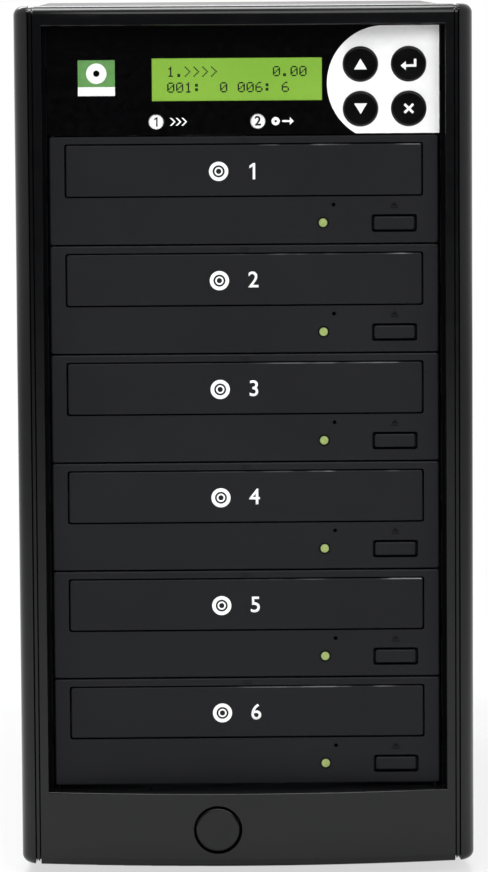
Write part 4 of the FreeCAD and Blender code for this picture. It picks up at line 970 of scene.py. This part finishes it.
# Black felt ring round each lens: painted shadow, a dark ring where the shadow round the lens hole falls
lensShadowRing = {"inner": 1.75 * mm, "outer": 2.2 * mm, "segments": 40}


def drawLensRings(bm):
    middle, lowest, pitch = lensRow()
    for number in driveNumbers:
        z = lowest + (number - 1) * pitch
        addRing(bm, middle, z, lensShadowRing["outer"], lensShadowRing["segments"])
        addRing(bm, middle, z, lensShadowRing["inner"], lensShadowRing["segments"])


for number in driveNumbers:
    drawDoorPrint(number)
    drawEjectSign(number)
printOutlines("lens_shadow_rings", drawLensRings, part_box("drive_1_face")[0].y, shadeFelt, "case")
print("drive prints laid")


# Plain marks on the mains rocker: a bar above its ridge and a ring below
rockerMark = {"offset": 5.0 * mm, "ring": 1.9 * mm, "ringHole": 1.35 * mm, "segments": 40, "bar": 0.6 * mm,
              "barHeight": 3.6 * mm, "behind": 100 * mm}


def drawBar(bm):
    half = rockerMark["bar"] / 2
    addRectangle(bm, -half, half, -rockerMark["barHeight"] / 2, rockerMark["barHeight"] / 2)


def drawRing(bm):
    addRing(bm, 0, 0, rockerMark["ring"], rockerMark["segments"])
    addRing(bm, 0, 0, rockerMark["ringHole"], rockerMark["segments"])


def markRocker(name, draw, way):
    low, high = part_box("rocker_switch")
    start = (low + high) / 2 + Vector((0, rockerMark["behind"], way * rockerMark["offset"]))
    place, normal = nodes["rocker_switch"].ray_cast(start, Vector((0, -1, 0)))[1:3]
    bm = bmesh.new()
    draw(bm)
    fillOutlines(bm)
    thicken(bm, 0)
    turn = Vector((0, -1, 0)).rotation_difference(normal).to_matrix().to_4x4()
    bmesh.ops.transform(bm, matrix=Matrix.Translation(place) @ turn, verts=bm.verts[:])
    placePiece(name, bm, whiteInk, "rocker")


bpy.context.view_layer.update()
markRocker("rocker_bar_mark", drawBar, 1)
markRocker("rocker_ring_mark", drawRing, -1)
print("rocker marked")


# Floor, curtain, light and camera
def stagePlane(name, size, place, turn, finish):
    bm = bmesh.new()
    spot = Matrix.Translation(place) @ turn
    bmesh.ops.create_grid(bm, x_segments=1, y_segments=1, size=size / 2, matrix=spot)
    plane = newObject(name, bm, finish)
    return plane


floorLook = {"size": 5.0, "near": 0.3, "far": 0.75, "glow": 0.65, "white": (0.74, 0.74, 0.735),
             "thin": (0.72, 0.72, 0.715), "fibre": 1.5 * mm, "depth": 0.05 * mm}


def floorPaper():
    # white paper, lit from below: it takes a soft shadow near the tower and fades into the white behind it
    material, tree, shader, coords = newFinish("floor paper", floorLook["white"], roughness=0.7, specular=0.2)
    fibre = addNoise(tree, coords, floorLook["fibre"], 3)
    mottle(tree, shader, fibre, floorLook["thin"], floorLook["white"])
    addBump(tree, shader, fibre, floorLook["depth"])
    path = addNode(tree, "ShaderNodeLightPath")
    reach = addNode(tree, "ShaderNodeVectorMath", {0: coords}, operation="LENGTH").outputs["Value"]
    fade = mapRange(tree, reach, floorLook["near"], floorLook["far"], floorLook["glow"])
    seen = combine(tree, "MULTIPLY", path.outputs["Is Camera Ray"], fade)
    glow = addNode(tree, "ShaderNodeEmission", {"Color": (1, 1, 1, 1), "Strength": 1.0})
    mix = addNode(tree, "ShaderNodeMixShader", {0: seen, 1: shader.outputs[0], 2: glow.outputs[0]})
    tree.links.new(mix.outputs[0], tree.nodes["Material Output"].inputs["Surface"])
    return material


curtainLook = {"size": 5.0, "top": 2.7, "distance": 2.25, "colour": (0.02, 0.02, 0.022), "fold": 0.2,
               "dark": (0.015, 0.015, 0.017), "light": (0.026, 0.026, 0.028)}


def curtainCloth():
    material, tree, shader, coords = newFinish("curtain cloth", curtainLook["colour"], roughness=0.95,
                                               specular=0.1)
    fold = addNoise(tree, coords, curtainLook["fold"], 2)
    mottle(tree, shader, fold, curtainLook["dark"], curtainLook["light"])
    return material


stagePlane("floor", floorLook["size"], (0, 0, 0), Matrix.Identity(4), floorPaper())
curtainPlace = (0, -curtainLook["distance"], curtainLook["top"] - curtainLook["size"] / 2)
curtain = stagePlane("curtain", curtainLook["size"], curtainPlace, Matrix.Rotation(math.pi / 2, 4, "X"),
                     curtainCloth())
curtain.visible_camera = False  # it only keeps the room in front dark


keyLamp = {"place": (0.3, -2.0, 1.2), "aim": (0.05, -0.1, 0.2), "width": 2.3, "height": 1.1, "power": 36}
topLamp = {"place": (-0.1, -0.2, 1.3), "aim": (-0.1, -0.2, 0.33), "width": 0.9, "height": 0.5, "power": 24}
rimLamp = {"place": (-0.4, 1.7, 1.5), "aim": (0, 0.1, 0.3), "width": 1.4, "height": 0.5, "power": 16}


def softBox(name, look):
    lamp = bpy.data.lights.new(name, "AREA")
    lamp.shape = "RECTANGLE"
    lamp.size = look["width"]
    lamp.size_y = look["height"]
    lamp.energy = look["power"]
    light = bpy.data.objects.new(name, lamp)
    light.location = look["place"]
    light.rotation_euler = (Vector(look["aim"]) - Vector(look["place"])).to_track_quat("-Z", "Y").to_euler()
    bpy.context.scene.collection.objects.link(light)


softBox("key light", keyLamp)
softBox("top light", topLamp)
softBox("rim light", rimLamp)

roomLook = {"fill": (0.92, 0.95, 1.0), "strength": 0.4}
world = bpy.data.worlds.new("white room")
world.use_nodes = True
bpy.context.scene.world = world
worldTree = world.node_tree
room = worldTree.nodes["Background"]
room.inputs["Color"].default_value = (*roomLook["fill"], 1)
room.inputs["Strength"].default_value = roomLook["strength"]
rays = addNode(worldTree, "ShaderNodeLightPath").outputs
mirrored = combine(worldTree, "MAXIMUM", rays["Is Glossy Ray"], rays["Is Transmission Ray"])
seen = combine(worldTree, "MAXIMUM", rays["Is Camera Ray"], mirrored)
white = addNode(worldTree, "ShaderNodeBackground", {"Color": (1, 1, 1, 1), "Strength": 1.0})
mix = addNode(worldTree, "ShaderNodeMixShader", {0: seen, 1: room.outputs[0], 2: white.outputs[0]})
worldTree.links.new(mix.outputs[0], worldTree.nodes["World Output"].inputs["Surface"])

view = {"place": (-0.0196, -1.984, 0.3500), "yaw": 0.6, "pitch": 5.662, "roll": 0.383, "focus": 4752.3,
        "imageHeight": 872, "sensorHeight": 24, "farEnd": 50}


def addCamera():
    lens = bpy.data.cameras.new("camera")
    lens.sensor_fit = "VERTICAL"
    lens.sensor_height = view["sensorHeight"]
    lens.lens = view["focus"] * lens.sensor_height / view["imageHeight"]
    lens.clip_end = view["farEnd"]
    camera = bpy.data.objects.new("camera", lens)
    aim = Euler((math.radians(90 - view["pitch"]), 0, math.radians(-view["yaw"]))).to_matrix()
    tilt = Matrix.Rotation(math.radians(-view["roll"]), 3, "Z")
    camera.matrix_world = Matrix.Translation(view["place"]) @ (aim @ tilt).to_4x4()
    bpy.context.scene.collection.objects.link(camera)
    bpy.context.scene.camera = camera


addCamera()
bpy.context.scene.view_settings.view_transform = "Standard"
print("stage, light and camera set")
